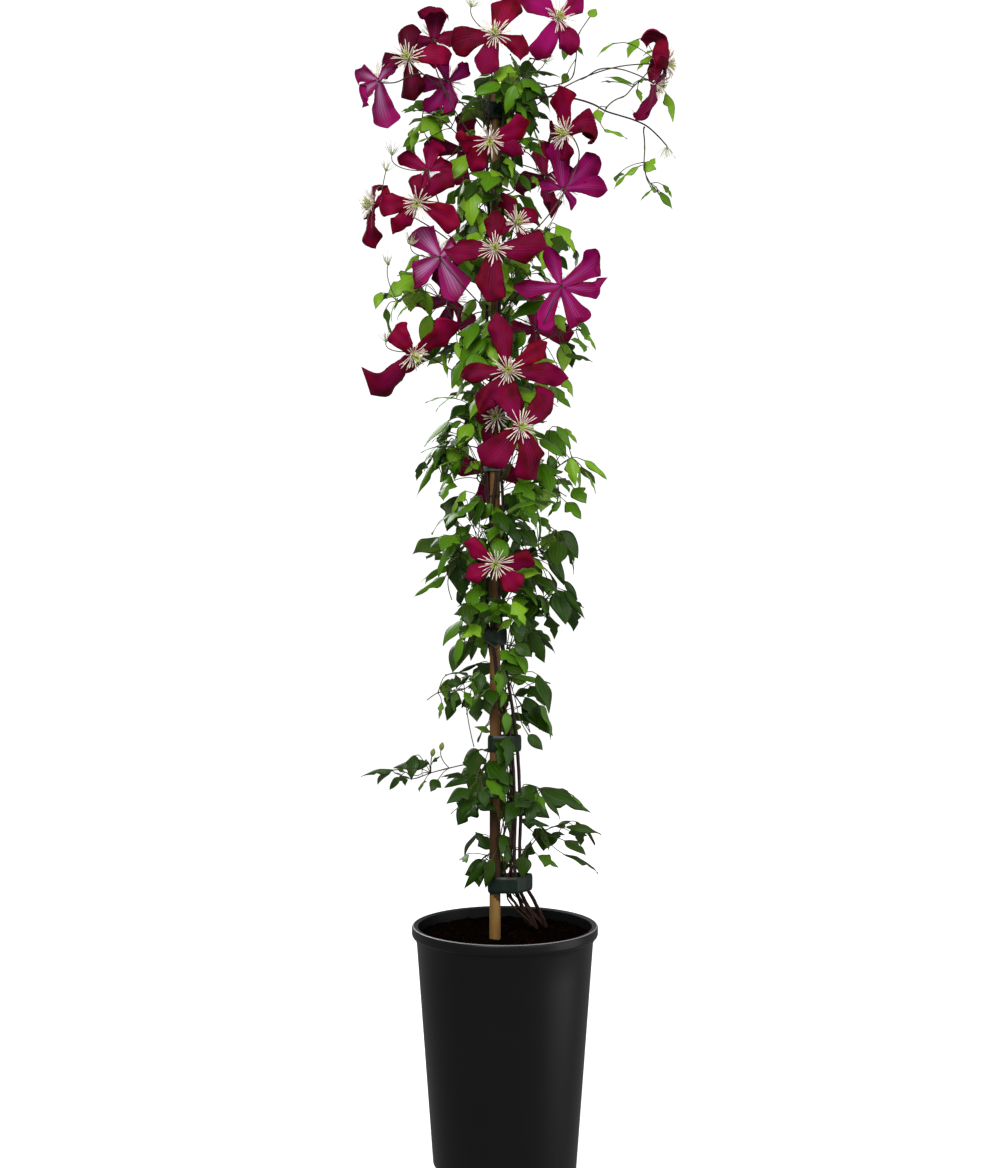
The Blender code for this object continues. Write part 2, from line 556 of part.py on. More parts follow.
# Sprigs on the arching bough: share of the bough where each leaves it, then as above
SPRIGS = {
    "sprig_up": (0.66, ((622, 98, 2), (634, 86, 2), (648, 72, 0), (656, 60, 0)), (
        (614, 43, 596, 55, 0.25, 0), (637, 39, 627, 56, 0.62, 0), (652, 56, 636, 70, 0.4, 0),
        (653, 50, 643, 55, 0.5, 0), (632, 84, 605, 76, 0.3, 0), (637, 81, 651, 78, 0.4, 0),
        (637, 89, 642, 102, 0.5, 0), (666, 93, 674, 121, 0.35, 0), (604, 130, 628, 137, 0.3, 0))),
    "sprig_down": (0.86, ((645, 142, 4), (644, 160, 4), (647, 178, 4), (658, 192, 4)), (
        (645, 172, 655, 157, 0.72, 0), (639, 166, 612, 187, 0.2, 0), (660, 192, 674, 208, 0.62, 0),
        (650, 186, 662, 195, 0.4, 0), (650, 191, 640, 200, 0.3, 0))),
    "sprig_top": (0.3, ((570, 80, -2), (580, 30, -2), (589, 18, -2)), (
        (590, 17, 596, 8, 1.0, 0), (576, 44, 584, 56, 0.35, 0), (564, 90, 574, 100, 0.5, -1))),
}


def wall_radius(height):
    """The pot's outer radius at a height on its straight wall."""
    slope = (POT_BODY_TOP_RADIUS - POT_BASE_RADIUS) / (POT_HEIGHT - POT_LIP_HEIGHT)
    return POT_BASE_RADIUS + slope * height


def pot_shape():
    lip = POT_HEIGHT - POT_LIP_HEIGHT
    profile = [
        (0, 0),
        (wall_radius(0) - 1.0, 0),
        (wall_radius(1.5), 1.5),
        (wall_radius(lip - 6), lip - 6),
        (POT_TOP_RADIUS - 0.6, lip - 2),
        (POT_TOP_RADIUS, lip),
        (POT_TOP_RADIUS, POT_HEIGHT - 1.2),
        (POT_TOP_RADIUS - 1.2, POT_HEIGHT),
        (POT_TOP_RADIUS - 2.6, POT_HEIGHT - 0.4),
        (wall_radius(lip) - POT_WALL, lip - 1),
        (wall_radius(POT_FLOOR) - POT_WALL, POT_FLOOR),
        (0, POT_FLOOR),
    ]
    return lathe(profile, POT_SIDES)


def soil_shape():
    low, high = POT_FLOOR + GAP, SOIL_LEVEL
    clear_of_wall = POT_WALL + GAP + 0.1
    profile = [(0, low), (wall_radius(low) - clear_of_wall, low),
               (wall_radius(high - 1) - clear_of_wall, high), (0, high)]
    return lathe(profile, POT_SIDES)


def cane_shape():
    levels, radii = [CANE_FOOT], [cane_radius(SOIL_LEVEL)]
    for joint in CANE_JOINTS:
        for offset, swell in ((-4.0, 0.0), (0.0, 0.35), (4.0, 0.0)):
            levels.append(joint + offset)
            radii.append(min(cane_radius(joint + offset) + swell, cane_radius(SOIL_LEVEL)))
    levels.append(CANE_TOP)
    radii.append(CANE_TOP_RADIUS)
    return tube([(CANE_X, CANE_Y, level) for level in levels], radii, 8)


def stem_shape(route):
    return tube(*route, 5, level_foot=True)


def tie_shape(level, routes):
    inner = tie_outline(level, routes, 0.0)
    outer = tie_outline(level, routes, TIE_WALL)
    return prism(outer, inner, level - TIE_HEIGHT / 2, level + TIE_HEIGHT / 2)


def hardware_shapes(routes):
    """The pot, soil, cane, stems and ties, which nothing that grows may touch."""
    stems = [stem_shape(route) for route in routes]
    ties = [tie_shape(level, routes) for level in TIE_LEVELS]
    return [pot_shape(), soil_shape(), cane_shape(), *stems, *ties]


def facing_of(turned, raised):
    """The way something faces, from degrees turned off the viewer to the right and degrees raised."""
    turned, raised = math.radians(turned), math.radians(raised)
    level = math.cos(raised)
    return np.array([math.sin(turned) * level, -math.cos(turned) * level, math.sin(raised)])


def place_of(point):
    """Where a point shows in the picture."""
    size = (point[1] - EYE_Y) / PICTURE_SCALE
    return np.array([PICTURE_CENTRE[0] + (point[0] - EYE_X) / size,
                     PICTURE_CENTRE[1] - (point[2] - EYE_Z) / size])


def curve_through(places, count):
    """Evenly shared points on a smooth curve through the given places."""
    places = np.asarray(places, float)
    spans = np.concatenate([[0.0], np.cumsum(np.linalg.norm(np.diff(places, axis=0), axis=1))])
    wanted = np.linspace(0, spans[-1], count)
    return np.stack([smooth_through(spans, places[:, axis], wanted) for axis in range(3)], axis=1)


def leaf_shape(leaf, spare=0.0):
    """A leaflet of eight faces: base, tip, two sides and a midrib that stands a little above them."""
    base, tip, facing, width = leaf
    along = tip - base
    length = np.linalg.norm(along)
    ahead = along / length
    up = square_to(facing, ahead)
    side = np.cross(ahead, up)
    middle = base + along * 0.42 + up * length * 0.07
    half = width * length / 2 + spare
    thick = LEAF_THICKNESS / 2 + spare
    sink = up * length * 0.05
    points = [base - ahead * spare, tip + ahead * spare,
              middle + side * half - sink, middle - side * half - sink,
              middle + up * thick, middle - up * thick]
    faces = [(0, 2, 4), (0, 4, 3), (1, 4, 2), (1, 3, 4), (0, 5, 2), (0, 3, 5), (1, 2, 5), (1, 5, 3)]
    return np.array(points), faces


def stalked_leaf_shape(path, radius, leaf):
    """A leaflet and its petiole in one: a three-sided bar whose last ring opens into the blade."""
    points, _ = leaf_shape(leaf)
    base, tip, facing, _ = leaf
    path = np.array(path)
    path[-1] = base
    ahead = np.gradient(path, axis=0)
    ahead[-1] = tip - base
    rings = []
    up = square_to(facing, ahead[-1])
    for spot, way in zip(path[::-1], ahead[::-1]):
        up = square_to(up, way)
        side = np.cross(unit(way), up)
        rings.append([spot + radius * up, spot + radius * (side * 0.87 - up * 0.5),
                      spot - radius * (side * 0.87 + up * 0.5)])
    corners = np.concatenate(rings[::-1])
    faces = [(0, 1, 2)]
    for start in range(0, len(corners) - 3, 3):
        for step in range(3):
            here, after = start + step, start + (step + 1) % 3
            faces.append((here, after, after + 3, here + 3))
    last = len(corners)
    top, right, left = last - 3, last - 2, last - 1
    tip_point, blade_right, blade_left, blade_top, blade_under = range(last, last + 5)
    faces += [(top, blade_top, blade_right), (top, right, blade_right), (top, blade_top, blade_left),
              (top, left, blade_left), (left, blade_left, blade_under), (right, blade_right, blade_under),
              (left, right, blade_under), (blade_top, blade_right, tip_point), (blade_top, blade_left, tip_point),
              (blade_under, blade_right, tip_point), (blade_under, blade_left, tip_point)]
    return np.concatenate([corners, points[1:]]), faces


def sepal_line(length, curl, share):
    """How far out and up a sepal's middle lies, and its slope, at shares of its length.

    The slope starts a little raised and turns back as the 1.6th power of the share.
    """
    steps = np.linspace(0, 1, 61)
    slope = np.radians(SEPAL_LIFT - curl * steps ** 1.6)
    middle = (slope[1:] + slope[:-1]) / 2
    out = np.concatenate([[0.0], np.cumsum(np.cos(middle))]) * length / 60
    rise = np.concatenate([[0.0], np.cumsum(np.sin(middle))]) * length / 60
    return np.interp(share, steps, out), np.interp(share, steps, rise), np.interp(share, steps, slope)


def sepal_shape(centre, facing, direction, length, curl, spare=0.0):
    """A sepal of sixteen faces: two crosswise rows between a pointed base and a pointed tip."""
    side = np.cross(facing, direction)
    share = np.array([0.0, 0.45, 0.78, 1.0])
    out, rise, slope = sepal_line(length, curl, share)
    points = []
    for number in range(4):
        spot = centre + direction * (1.0 + out[number]) + facing * rise[number]
        normal = facing * math.cos(slope[number]) - direction * math.sin(slope[number])
        if number in (0, 3):
            points.append(spot)
            continue
        half = SEPAL_HALF_WIDTH * length * (0.86 if number == 1 else 0.93) + spare
        thick = normal * (SEPAL_THICKNESS / 2 + spare)
        points += [spot + side * half, spot + thick, spot - side * half, spot - thick]
    faces = [(0, 1, 2), (0, 2, 3), (1, 5, 6), (1, 6, 2), (2, 6, 7), (2, 7, 3), (5, 9, 6), (6, 9, 7)]
    faces += [(0, 4, 1), (0, 3, 4), (1, 8, 5), (1, 4, 8), (4, 7, 8), (4, 3, 7), (5, 8, 9), (8, 7, 9)]
    return np.array(points), faces


def boss_shape(centre, facing, spare=0.0):
    """The cluster of stamens in front of a flower's middle, and the swollen end of the stalk behind it."""
    steps = np.array([-5.0, -0.5, 8.0])
    radii = np.array([1.4, 3.4, 7.0]) + spare
    path = centre + np.outer(steps, facing)
    return tube(path, radii, 5)


def flower_shapes(flower, depth, spare=0.0):
    """The shapes of one flower head: its boss, then its sepals."""
    place, _, facing, sepals = flower
    facing = facing_of(*facing)
    centre = seen(place, depth)
    shapes = [boss_shape(centre, facing, spare)]
    for angle, length, curl in sepals:
        turned = math.radians(angle)
        direction = square_to((math.cos(turned), 0.0, math.sin(turned)), facing)
        shapes.append(sepal_shape(centre, facing, direction, length, curl, spare))
    return shapes


class Crowd:
    """What has been placed so far, and whether something new would touch it."""

    def __init__(self):
        self.items = []

    def add(self, shape, owner, kind):
        points, faces = shape
        tree = BVHTree.FromPolygons(points.tolist(), faces)
        self.items.append((tree, points.min(axis=0), points.max(axis=0), owner, kind))

    def clear(self, shape, owner, own_kinds=("bar", "blade")):
        """Whether a shape keeps clear of all but its own node's parts of the kinds named."""
        points, faces = shape
        low, high = points.min(axis=0), points.max(axis=0)
        near = [item for item in self.items
                if not (item[3] == owner and item[4] in own_kinds)
                and (item[1] <= high).all() and (item[2] >= low).all()]
        if not near:
            return True
        tree = BVHTree.FromPolygons(points.tolist(), faces)
        return not any(tree.overlap(item[0]) for item in near)


def bar(path, radii, spare=0.0):
    return tube(path, np.asarray(radii) + spare, 3)


def vine_roots(routes, level, towards):
    """Places on the vine stems where a twig can leave, best first, with the way out from each."""
    for shift in (0, -7, 7, -14, 14, -21, 21, -28, 28, -36, 36):
        height = level + shift
        if min(abs(height - tie) for tie in TIE_LEVELS) < TIE_HEIGHT / 2 + 2.5:
            continue
        centres = [np.array([np.interp(height, route[:, 2], route[:, axis]) for axis in (0, 1)] + [height])
                   for route, _ in routes]
        sizes = [np.interp(height, route[:, 2], radii) for route, radii in routes]
        held = [] if height < 400 else [(CANE_X, CANE_Y)] * 3
        middle = np.mean([centre[:2] for centre in centres] + held, axis=0)
        for turn in (0, 35, -35, 70, -70, 110, -110, 150, -150):
            angle = math.atan2(towards[1] - middle[1], towards[0] - middle[0]) + math.radians(turn)
            way = np.array([math.cos(angle), math.sin(angle), 0.0])
            choice = max(range(3), key=lambda number: np.dot(centres[number][:2] - middle, way[:2]))
            if height > routes[choice][0][-1, 2] - 4:
                continue
            yield centres[choice] + way * (sizes[choice] + GAP + 0.05), way


def twig_path(root, way, places, count):
    """A twig's line: straight out of the bark for a moment, then smoothly through the places."""
    first = root + way * 1.6
    span = np.linalg.norm(places[0] - first)
    lead = [first + unit(way * 0.6 + unit(places[0] - first) * 0.4) * span * 0.4] if span > 9 else []
    return np.vstack([root, curve_through([first, *lead, *places], count)])


def gentle(path):
    """Whether a line turns less than 65 degrees at each of its places."""
    steps = np.diff(path, axis=0)
    steps /= np.linalg.norm(steps, axis=1)[:, None]
    return bool(((steps[1:] * steps[:-1]).sum(axis=1) > math.cos(math.radians(65))).all())


def grow(routes, crowd):
    """Grows everything green or red on the vine stems, and returns each node's parts."""
    for shape in hardware_shapes(routes):
        crowd.add(shape, "hardware", "bar")
    nodes = {}
    rng = np.random.default_rng(GROWTH_SEED)

    arch_line = [seen(place[:2], place[2]) for place in ARCH_PLACES]
    for root, way in vine_roots(routes, ARCH_FOOT_LEVEL, arch_line[1]):
        path = twig_path(root, way, arch_line, 15)
        radii = np.linspace(*ARCH_RADII, len(path))
        if crowd.clear(bar(path, radii, SPARE), "arch"):
            break
    nodes["arch_bough"] = [("limb", path, radii)]
    crowd.add(bar(path, radii), "arch_bough", "bar")
    arch_path, arch_radii = path, radii

    depths = {}
    for name, flowers in FLOWERS.items():
        nodes[name] = []
        for number, flower in enumerate(flowers):
            for shift in (0, -6, 6, -12, 12, -18, 18, -24, 24, 32, -32, 40, 48):
                depth = flower[1] + shift
                if all(crowd.clear(shape, name) for shape in flower_shapes(flower, depth, SPARE)):
                    break
            else:
                continue
            depths[name, number] = depth
            for shape in flower_shapes(flower, depth):
                crowd.add(shape, name, "blade")
            nodes[name].append(("flower", flower, depth))

    for name, flowers in FLOWERS.items():
        for number, flower in enumerate(flowers):
            if (name, number) not in depths:
                continue
            facing = facing_of(*flower[2])
            centre = seen(flower[0], depths[name, number])
            back = centre - facing * 4.0
            stalk = find_stalk(crowd, routes, name, number, nodes[name], back, facing)
            if stalk is None:
                nodes[name] = [part for part in nodes[name] if part[1] is not flower]
                continue
            path, radii = stalk
            nodes[name].append(("twig", path, radii))
            crowd.add(bar(path, radii), name, "bar")

    shoots = []
    for name, (level, places, leaves) in SHOOTS.items():
        sway = SHOOT_SWAY * (-1) ** len(shoots) / len(places)
        places = [(across, down, depth + sway * number)
                  for number, (across, down, depth) in enumerate(places, start=1)]
        roots = vine_roots(routes, level, seen(places[0][:2], places[0][2]))
        shoots.append((name, find_shoot(crowd, roots, name, places), leaves))
    for name, (share, places, leaves) in SPRIGS.items():
        roots = arch_roots(arch_path, arch_radii, share, seen(places[0][:2], places[0][2]))
        shoots.append((name, find_shoot(crowd, roots, name, places), leaves))
    shoots = [shoot for shoot in shoots if shoot[1] is not None]
    for name, (path, radii), _ in shoots:
        nodes[name] = [("twig", path, radii)]
    for name, (path, _), leaves in shoots:
        for leaf in leaves:
            add_leaf(crowd, nodes[name], name, path, leaf, rng)
    flowers = flowers_of(nodes)
    for name, (path, _), leaves in shoots:
        wanted = 0 if name in SPRIGS else round(len(leaves) * EXTRA_SHARE)
        for _ in range(wanted * EXTRA_TRIES):
            if wanted and add_extra(crowd, nodes[name], flowers, name, path, leaves, EXTRA_LENGTHS, rng):
                wanted -= 1
    return nodes


def flowers_of(nodes):
    return [part for parts in nodes.values() for part in parts if part[0] == "flower"]


def find_stalk(crowd, routes, name, number, parts, back, facing):
    """A flower's stalk, from the vine or from its twin's stalk, that touches nothing else."""
    if number:
        twin = next((part for part in parts if part[0] == "twig"), None)
        if twin is None:
            return None
        starts = []
        for index in (len(twin[1]) // 2, len(twin[1]) // 2 - 1, len(twin[1]) // 2 + 1, 2):
            ahead = unit(twin[1][index + 1] - twin[1][index])
            starts.append((twin[1][index], unit(ahead * 0.7 + unit(back - twin[1][index]))))
    else:
        starts = vine_roots(routes, STALK_LEVELS[name], back)
    for root, way in starts:
        span = np.linalg.norm(back - root)
        for lift in (0.25, 0.05, 0.45, -0.15):
            leave = root + way * (1.6 + 0.3 * span) + np.array([0, 0, lift * span])
            arrive = back - facing * 0.35 * span
            curve = bezier(root + way * 1.6, leave, arrive, back, 5)
            path = np.vstack([root, curve, back + facing * 3.0])
            radii = np.linspace(STALK_RADIUS * 1.15, STALK_RADIUS, len(path))
            if gentle(path) and crowd.clear(bar(path[:-1], radii[:-1], SPARE), name):
                return path, radii
    return None


def arch_roots(path, radii, share, towards):
    """Places on the arching bough where a sprig can leave."""
    for shift in (0, -0.04, 0.04, -0.08, 0.08):
        spot = (share + shift) * (len(path) - 1)
        index = int(spot)
        centre = path[index] + (path[index + 1] - path[index]) * (spot - index)
        ahead = unit(path[index + 1] - path[index])
        size = radii[index]
        aim = square_to(towards - centre, ahead)
        for turn in (0, 40, -40, 80, -80):
            angle = math.radians(turn)
            way = aim * math.cos(angle) + np.cross(ahead, aim) * math.sin(angle)
            yield centre + way * (size + GAP + 0.1), way


def find_shoot(crowd, roots, name, places):
    """A leafy shoot's stem through its places, moved in depth until it touches nothing."""
    for root, way in roots:
        for shift in (0, 6, -6, 12, -12, 18):
            line = [seen(place[:2], place[2] + shift) for place in places]
            path = twig_path(root, way, line, 7)
            radii = np.linspace(*SHOOT_RADII, len(path))
            if gentle(path) and crowd.clear(bar(path, radii, SPARE), name):
                crowd.add(bar(path, radii), name, "bar")
                return path, radii
    return None


def add_leaf(crowd, parts, name, stem, row, rng):
    """Adds one leaflet seen in the picture, at the first depth where it and its petiole touch nothing."""
    *base_place, tip_across, tip_down, width, side = row
    spread = rng.permutation([-30, -20, -12, -4, 4, 12, 20, 30])
    tries = {1: (-34, -40, -30, -46, -26, -52, -60), 0: spread, -1: (24, 16, 32, 38, 44, 8)}[side]
    for depth in tries:
        lean = rng.uniform(-0.35, 0.35)
        jitter = rng.uniform(-0.35, 0.35)
        base = seen(base_place, depth)
        flat_tip = seen((tip_across, tip_down), depth)
        tip = seen((tip_across, tip_down), depth + lean * np.linalg.norm(flat_tip - base))
        facing = np.array([jitter, -0.75 if side >= 0 else 0.75, 0.6])
        if place_leaf(crowd, parts, name, stem, (base, tip, facing, width)):
            return True
    return False


def spoils_the_view(parts_of_flowers, leaf):
    """Whether a leaflet stands in front of a flower, or of a tie that shows, as the picture sees it."""
    for point in (leaf[0], (leaf[0] + leaf[1]) / 2, leaf[1]):
        place = place_of(point)
        for _, flower, depth in parts_of_flowers:
            if point[1] < depth + 6 and np.linalg.norm(place - flower[0]) < FLOWER_SHOWS:
                return True
        for tie in TIES_IN_VIEW:
            if point[1] < CANE_Y and np.linalg.norm(place - tie) < TIE_SHOWS:
                return True
    return False


def add_extra(crowd, parts, flowers, name, stem, rows, lengths, rng):
    """Adds one leaflet anywhere round the shoot's stem, within the shoot's own space in the picture."""
    rows = np.array([row[:4] for row in rows], float)
    low = np.minimum(rows[:, :2], rows[:, 2:]).min(axis=0) - 3
    high = np.maximum(rows[:, :2], rows[:, 2:]).max(axis=0) + 3
    spot = stem[int(rng.uniform(0.1, 1.0) * (len(stem) - 1))]
    leaf = hanging_leaf(spot, EXTRA_REACH, lengths, rng)
    for point in leaf[:2]:
        place = place_of(point)
        if (place < low).any() or (place > high).any():
            return False
    if spoils_the_view(flowers, leaf):
        return False
    return place_leaf(crowd, parts, name, stem, leaf)


def hanging_leaf(spot, reach, lengths, rng):
    """A leaflet held out from a spot in any direction, which hangs and faces outwards and up."""
    turn = rng.uniform(-math.pi, math.pi)
    way = unit((math.sin(turn), math.cos(turn), rng.uniform(-0.5, 0.8)))
    base = spot + way * rng.uniform(0.35, 1.0) * reach
    fall = unit(way * rng.uniform(0.2, 0.9) + np.array([rng.uniform(-0.5, 0.5), rng.uniform(-0.3, 0.3),
                                                        rng.uniform(-1.3, -0.1)]))
    tip = base + fall * rng.uniform(*lengths)
    facing = way * rng.uniform(0.5, 1.0) + np.array([rng.uniform(-0.4, 0.4), 0.0, rng.uniform(0.2, 0.9)])
    return base, tip, facing, rng.uniform(0.55, 0.9)


def place_leaf(crowd, parts, name, stem, leaf):
    """Adds a leaflet and its petiole if both keep clear, and says whether it did."""
    base, tip, facing, _ = leaf
    if not crowd.clear(leaf_shape(leaf, SPARE), name, ("bar",)):
        return False
    ahead = unit(tip - base)
    gaps = np.linalg.norm(stem[1:] - (base - ahead * 6), axis=1)
    index = 1 + int(np.argmin(gaps))
    start = stem[index]
    span = np.linalg.norm(base - start)
    end = base + ahead * 3.5
    leave = start + unit(base - start + np.array([0, 0, 0.25 * span])) * 0.35 * span
    count = 4 if span > 24 else 3
    path = bezier(start, leave, base - ahead * 0.3 * span, end, count)
    radii = np.full(len(path), PETIOLE_RADIUS)
    if not crowd.clear(bar(path, radii, SPARE), name):
        return False
    crowd.add(leaf_shape(leaf), name, "blade")
    crowd.add(bar(path, radii), name, "bar")
    parts.append(("leaf", path, leaf))
    return True


def clear_scene():
    for old in list(bpy.data.objects):
        bpy.data.objects.remove(old)


def cut(target, cutter_shape):
    """Takes a closed shape out of an object."""
    cutter = add_object("cutter", *cutter_shape, material("cutter", (1, 0, 0)))
    cutter.hide_render = True
    cutter.display_type = "WIRE"
    apply_boolean(target, "DIFFERENCE", "EXACT", cutter=cutter)
    bpy.data.objects.remove(cutter)


def drain_slot_shape(number):
    """A block at the pot's base corner, one of a ring of equal ones; the third lies on the picture's left."""
    angle = math.radians(DRAIN_TURN) + number * 2 * math.pi / DRAIN_SLOTS
    outward = np.array([math.cos(angle), math.sin(angle), 0])
    across = np.array([-math.sin(angle), math.cos(angle), 0])
    corners = [outward * reach + across * side * DRAIN_WIDTH / 2 + (0, 0, height)
               for height in (-3.0, DRAIN_HEIGHT)
               for reach, side in ((DRAIN_INNER, -1), (DRAIN_INNER, 1), (DRAIN_OUTER, 1), (DRAIN_OUTER, -1))]
    faces = [(0, 3, 2, 1), (4, 5, 6, 7), (0, 1, 5, 4), (1, 2, 6, 5), (2, 3, 7, 6), (3, 0, 4, 7)]
    return np.array(corners), faces


def build_pot():
    pot = add_object("pot", *pot_shape(), material("black_plastic", (0.012, 0.012, 0.013), 0.4))
    for number in range(DRAIN_SLOTS):
        cut(pot, drain_slot_shape(number))


def build_soil():
    soil = add_object("soil", *soil_shape(), material("soil", (0.02, 0.012, 0.008), 0.95))
    radius = cane_radius(SOIL_LEVEL) + GAP + 0.4
    bore = [(CANE_X, CANE_Y, CANE_FOOT - GAP), (CANE_X, CANE_Y, SOIL_LEVEL + 5)]
    cut(soil, tube(bore, [radius, radius], 12))


def build_upright_parts(routes):
    add_object("cane", *cane_shape(), material("bamboo", (0.32, 0.18, 0.06), 0.5))
    bark = material("stem_bark", (0.07, 0.035, 0.02), 0.8)
    for number, route in enumerate(routes, start=1):
        add_object(f"stem_{number}", *stem_shape(route), bark)
    plastic = material("green_plastic", (0.01, 0.035, 0.02), 0.4)
    for number, level in enumerate(TIE_LEVELS, start=1):
        add_object(f"tie_{number}", *tie_shape(level, routes), plastic)


def build_plant(nodes):
    red = material("sepal_wine_red", (0.2, 0.0, 0.025), 0.5)
    green = material("leaf_green", (0.06, 0.2, 0.02), 0.5)
    brown = material("bough_brown", (0.05, 0.03, 0.02), 0.8)
    for name, parts in nodes.items():
        if name == "arch_bough":
            made = add_object(name, *tube(parts[0][1], parts[0][2], 5), brown)
            continue
        shapes, spare_shapes = [], []
        for part in parts:
            if part[0] == "twig":
                shapes.append(bar(part[1], part[2]))
            elif part[0] == "flower":
                boss, *sepals = flower_shapes(part[1], part[2])
                shapes.append(boss)
                spare_shapes += sepals
            elif np.linalg.norm(part[2][1] - part[2][0]) > SMALLEST_LEAF:
                spare_shapes.append(stalked_leaf_shape(part[1], PETIOLE_RADIUS, part[2]))
        fuse_soundly(name, shapes, spare_shapes, red if name.startswith("flower") else green)


clear_scene()
ROUTES = [stem_route(number) for number in range(3)]
build_pot()
build_soil()
build_upright_parts(ROUTES)
build_plant(grow(ROUTES, Crowd()))
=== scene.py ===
"""The finished looks of a potted clematis on its cane, in short cells read from top to bottom."""
# %% [markdown]
# # Potted clematis
# A small-flowered climbing clematis is tied to one cane in a tall nursery pot. The pot, the cane and the
# stems are made first, each as one swept or turned skin. The same growth rule that made the solids is then
# run again, and each leaflet, sepal and stamen is built along it as a thin shell with its real relief.

# %% Frame
import math

import bmesh
import bpy
import numpy as np
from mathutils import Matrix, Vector
from mathutils.bvhtree import BVHTree


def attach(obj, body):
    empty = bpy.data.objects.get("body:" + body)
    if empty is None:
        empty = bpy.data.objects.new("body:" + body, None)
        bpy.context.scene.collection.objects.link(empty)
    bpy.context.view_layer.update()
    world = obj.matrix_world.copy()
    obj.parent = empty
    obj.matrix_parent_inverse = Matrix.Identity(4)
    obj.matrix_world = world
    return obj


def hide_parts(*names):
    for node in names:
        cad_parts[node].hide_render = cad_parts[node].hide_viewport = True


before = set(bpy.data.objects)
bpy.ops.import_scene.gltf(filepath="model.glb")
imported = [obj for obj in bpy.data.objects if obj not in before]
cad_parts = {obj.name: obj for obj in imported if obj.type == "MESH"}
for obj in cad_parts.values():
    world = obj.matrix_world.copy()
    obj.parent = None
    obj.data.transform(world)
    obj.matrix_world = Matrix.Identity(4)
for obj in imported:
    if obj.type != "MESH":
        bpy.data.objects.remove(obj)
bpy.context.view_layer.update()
print("solids:", len(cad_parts), "nodes")

# %% [markdown]
# ## Sizes
# All lengths are millimetres, +Z is up and the front is -Y. The pot is a two-litre climber pot, and the
# cane, 0.85 m long, reaches deep into it. The viewing point turns a place in the picture into a sight line.

# %% Sizes
METRE = 0.001
GAP = 0.3

# Pot
POT_HEIGHT = 200.0
POT_TOP_RADIUS = 75.4
POT_LIP_HEIGHT = 7.0
POT_BODY_TOP_RADIUS = 72.0
POT_BASE_RADIUS = 57.6
POT_WALL = 2.0
POT_FLOOR = 2.5
POT_SIDES = 30
DRAIN_SLOTS = 5
DRAIN_WIDTH = 36.0
DRAIN_HEIGHT = 9.0
DRAIN_TURN = 38.4
DRAIN_INNER, DRAIN_OUTER = 53.0, 62.0
SOIL_LEVEL = 193.0

# Cane and vine stems
CANE_X, CANE_Y = -8.0, -13.0
CANE_FOOT, CANE_TOP = 30.0, 880.0
CANE_FOOT_RADIUS, CANE_TOP_RADIUS = 4.5, 3.6
CANE_JOINTS = (262.0, 402.0, 548.0, 690.0, 812.0)
STEM_RADIUS = 1.7
STEM_TOP_RADIUS = 1.3
HUG_RADIUS = 6.5

# Ties
TIE_HEIGHT = 13.0
TIE_WALL = 1.2
TIE_LEVELS = (235.0, 348.0, 434.0, 573.0, 715.0, 855.0)

# The viewing point, how many picture points off the picture stands, and the place straight ahead in it
EYE_X, EYE_Y, EYE_Z = -4.0, -1280.0, 476.0
PICTURE_SCALE = 1578.0
PICTURE_CENTRE = (500.0, 584.0)

# The arching bough, as places in the picture with a depth
ARCH_FOOT_LEVEL = 838.0
ARCH_PLACES = ((518, 112, -6), (525, 102, -6), (539, 98, -5), (563, 97, -4), (590, 103, -2),
               (608, 112, 0), (628, 118, 2), (645, 125, 4), (658, 136, 5), (667, 146, 6))
ARCH_RADII = (1.5, 0.9)

# Twigs and stalks
SHOOT_RADII = (1.25, 0.8)
SHOOT_SWAY = 26.0
STALK_RADIUS = 0.9
PETIOLE_RADIUS = 0.75

# Leaflets and sepals
LEAF_THICKNESS = 1.0
SEPAL_THICKNESS = 1.1
SEPAL_HALF_WIDTH = 0.29
SEPAL_LIFT = 12.0

# Growth: the room kept clear round each part, and the leaflets added to those seen in the picture
SPARE = 0.35
EXTRA_SHARE = 0.5
EXTRA_TRIES = 12
EXTRA_LENGTHS = (20.0, 34.0)
EXTRA_REACH = 36.0
FLOWER_SHOWS = 30.0
TIES_IN_VIEW = ((487, 117), (492, 640))
TIE_SHOWS = 17.0
GROWTH_SEED = 21

# %% Sight lines
def seen(place, depth):
    """The point at this depth (y) on the sight line through a place in the picture."""
    size = (depth - EYE_Y) / PICTURE_SCALE
    across = EYE_X + (place[0] - PICTURE_CENTRE[0]) * size
    up = EYE_Z + (PICTURE_CENTRE[1] - place[1]) * size
    return np.array([across, depth, up])


def unit(vector):
    """The vector divided by its length."""
    vector = np.asarray(vector, float)
    return vector / max(np.linalg.norm(vector), 1e-9)


def square_to(direction, axis):
    """The part of direction that is square to the axis, as a unit vector."""
    axis = unit(axis)
    rest = np.asarray(direction, float) - axis * np.dot(direction, axis)
    if np.linalg.norm(rest) < 1e-3:
        rest = np.cross(axis, (0.31, 0.23, 0.92))
    return unit(rest)

# %% [markdown]
# ## Simple solids
# These coarse solids stand for each part while the plant grows, so that nothing grows through another.
# The finished meshes could be tried instead, but they are far heavier and would give another plant.

# %% Simple solids
# The corners of a block, as signs, and its faces
BLOCK_CORNERS = np.array([(across, along, up) for up in (-1, 1)
                          for across, along in ((-1, -1), (1, -1), (1, 1), (-1, 1))], float)
BLOCK_FACES = np.array([(0, 3, 2, 1), (4, 5, 6, 7), (0, 1, 5, 4), (1, 2, 6, 5), (2, 3, 7, 6), (3, 0, 4, 7)])


def all_round(sides):
    """Equal turns all the way round, one for each side."""
    return np.arange(sides) * 2 * math.pi / sides


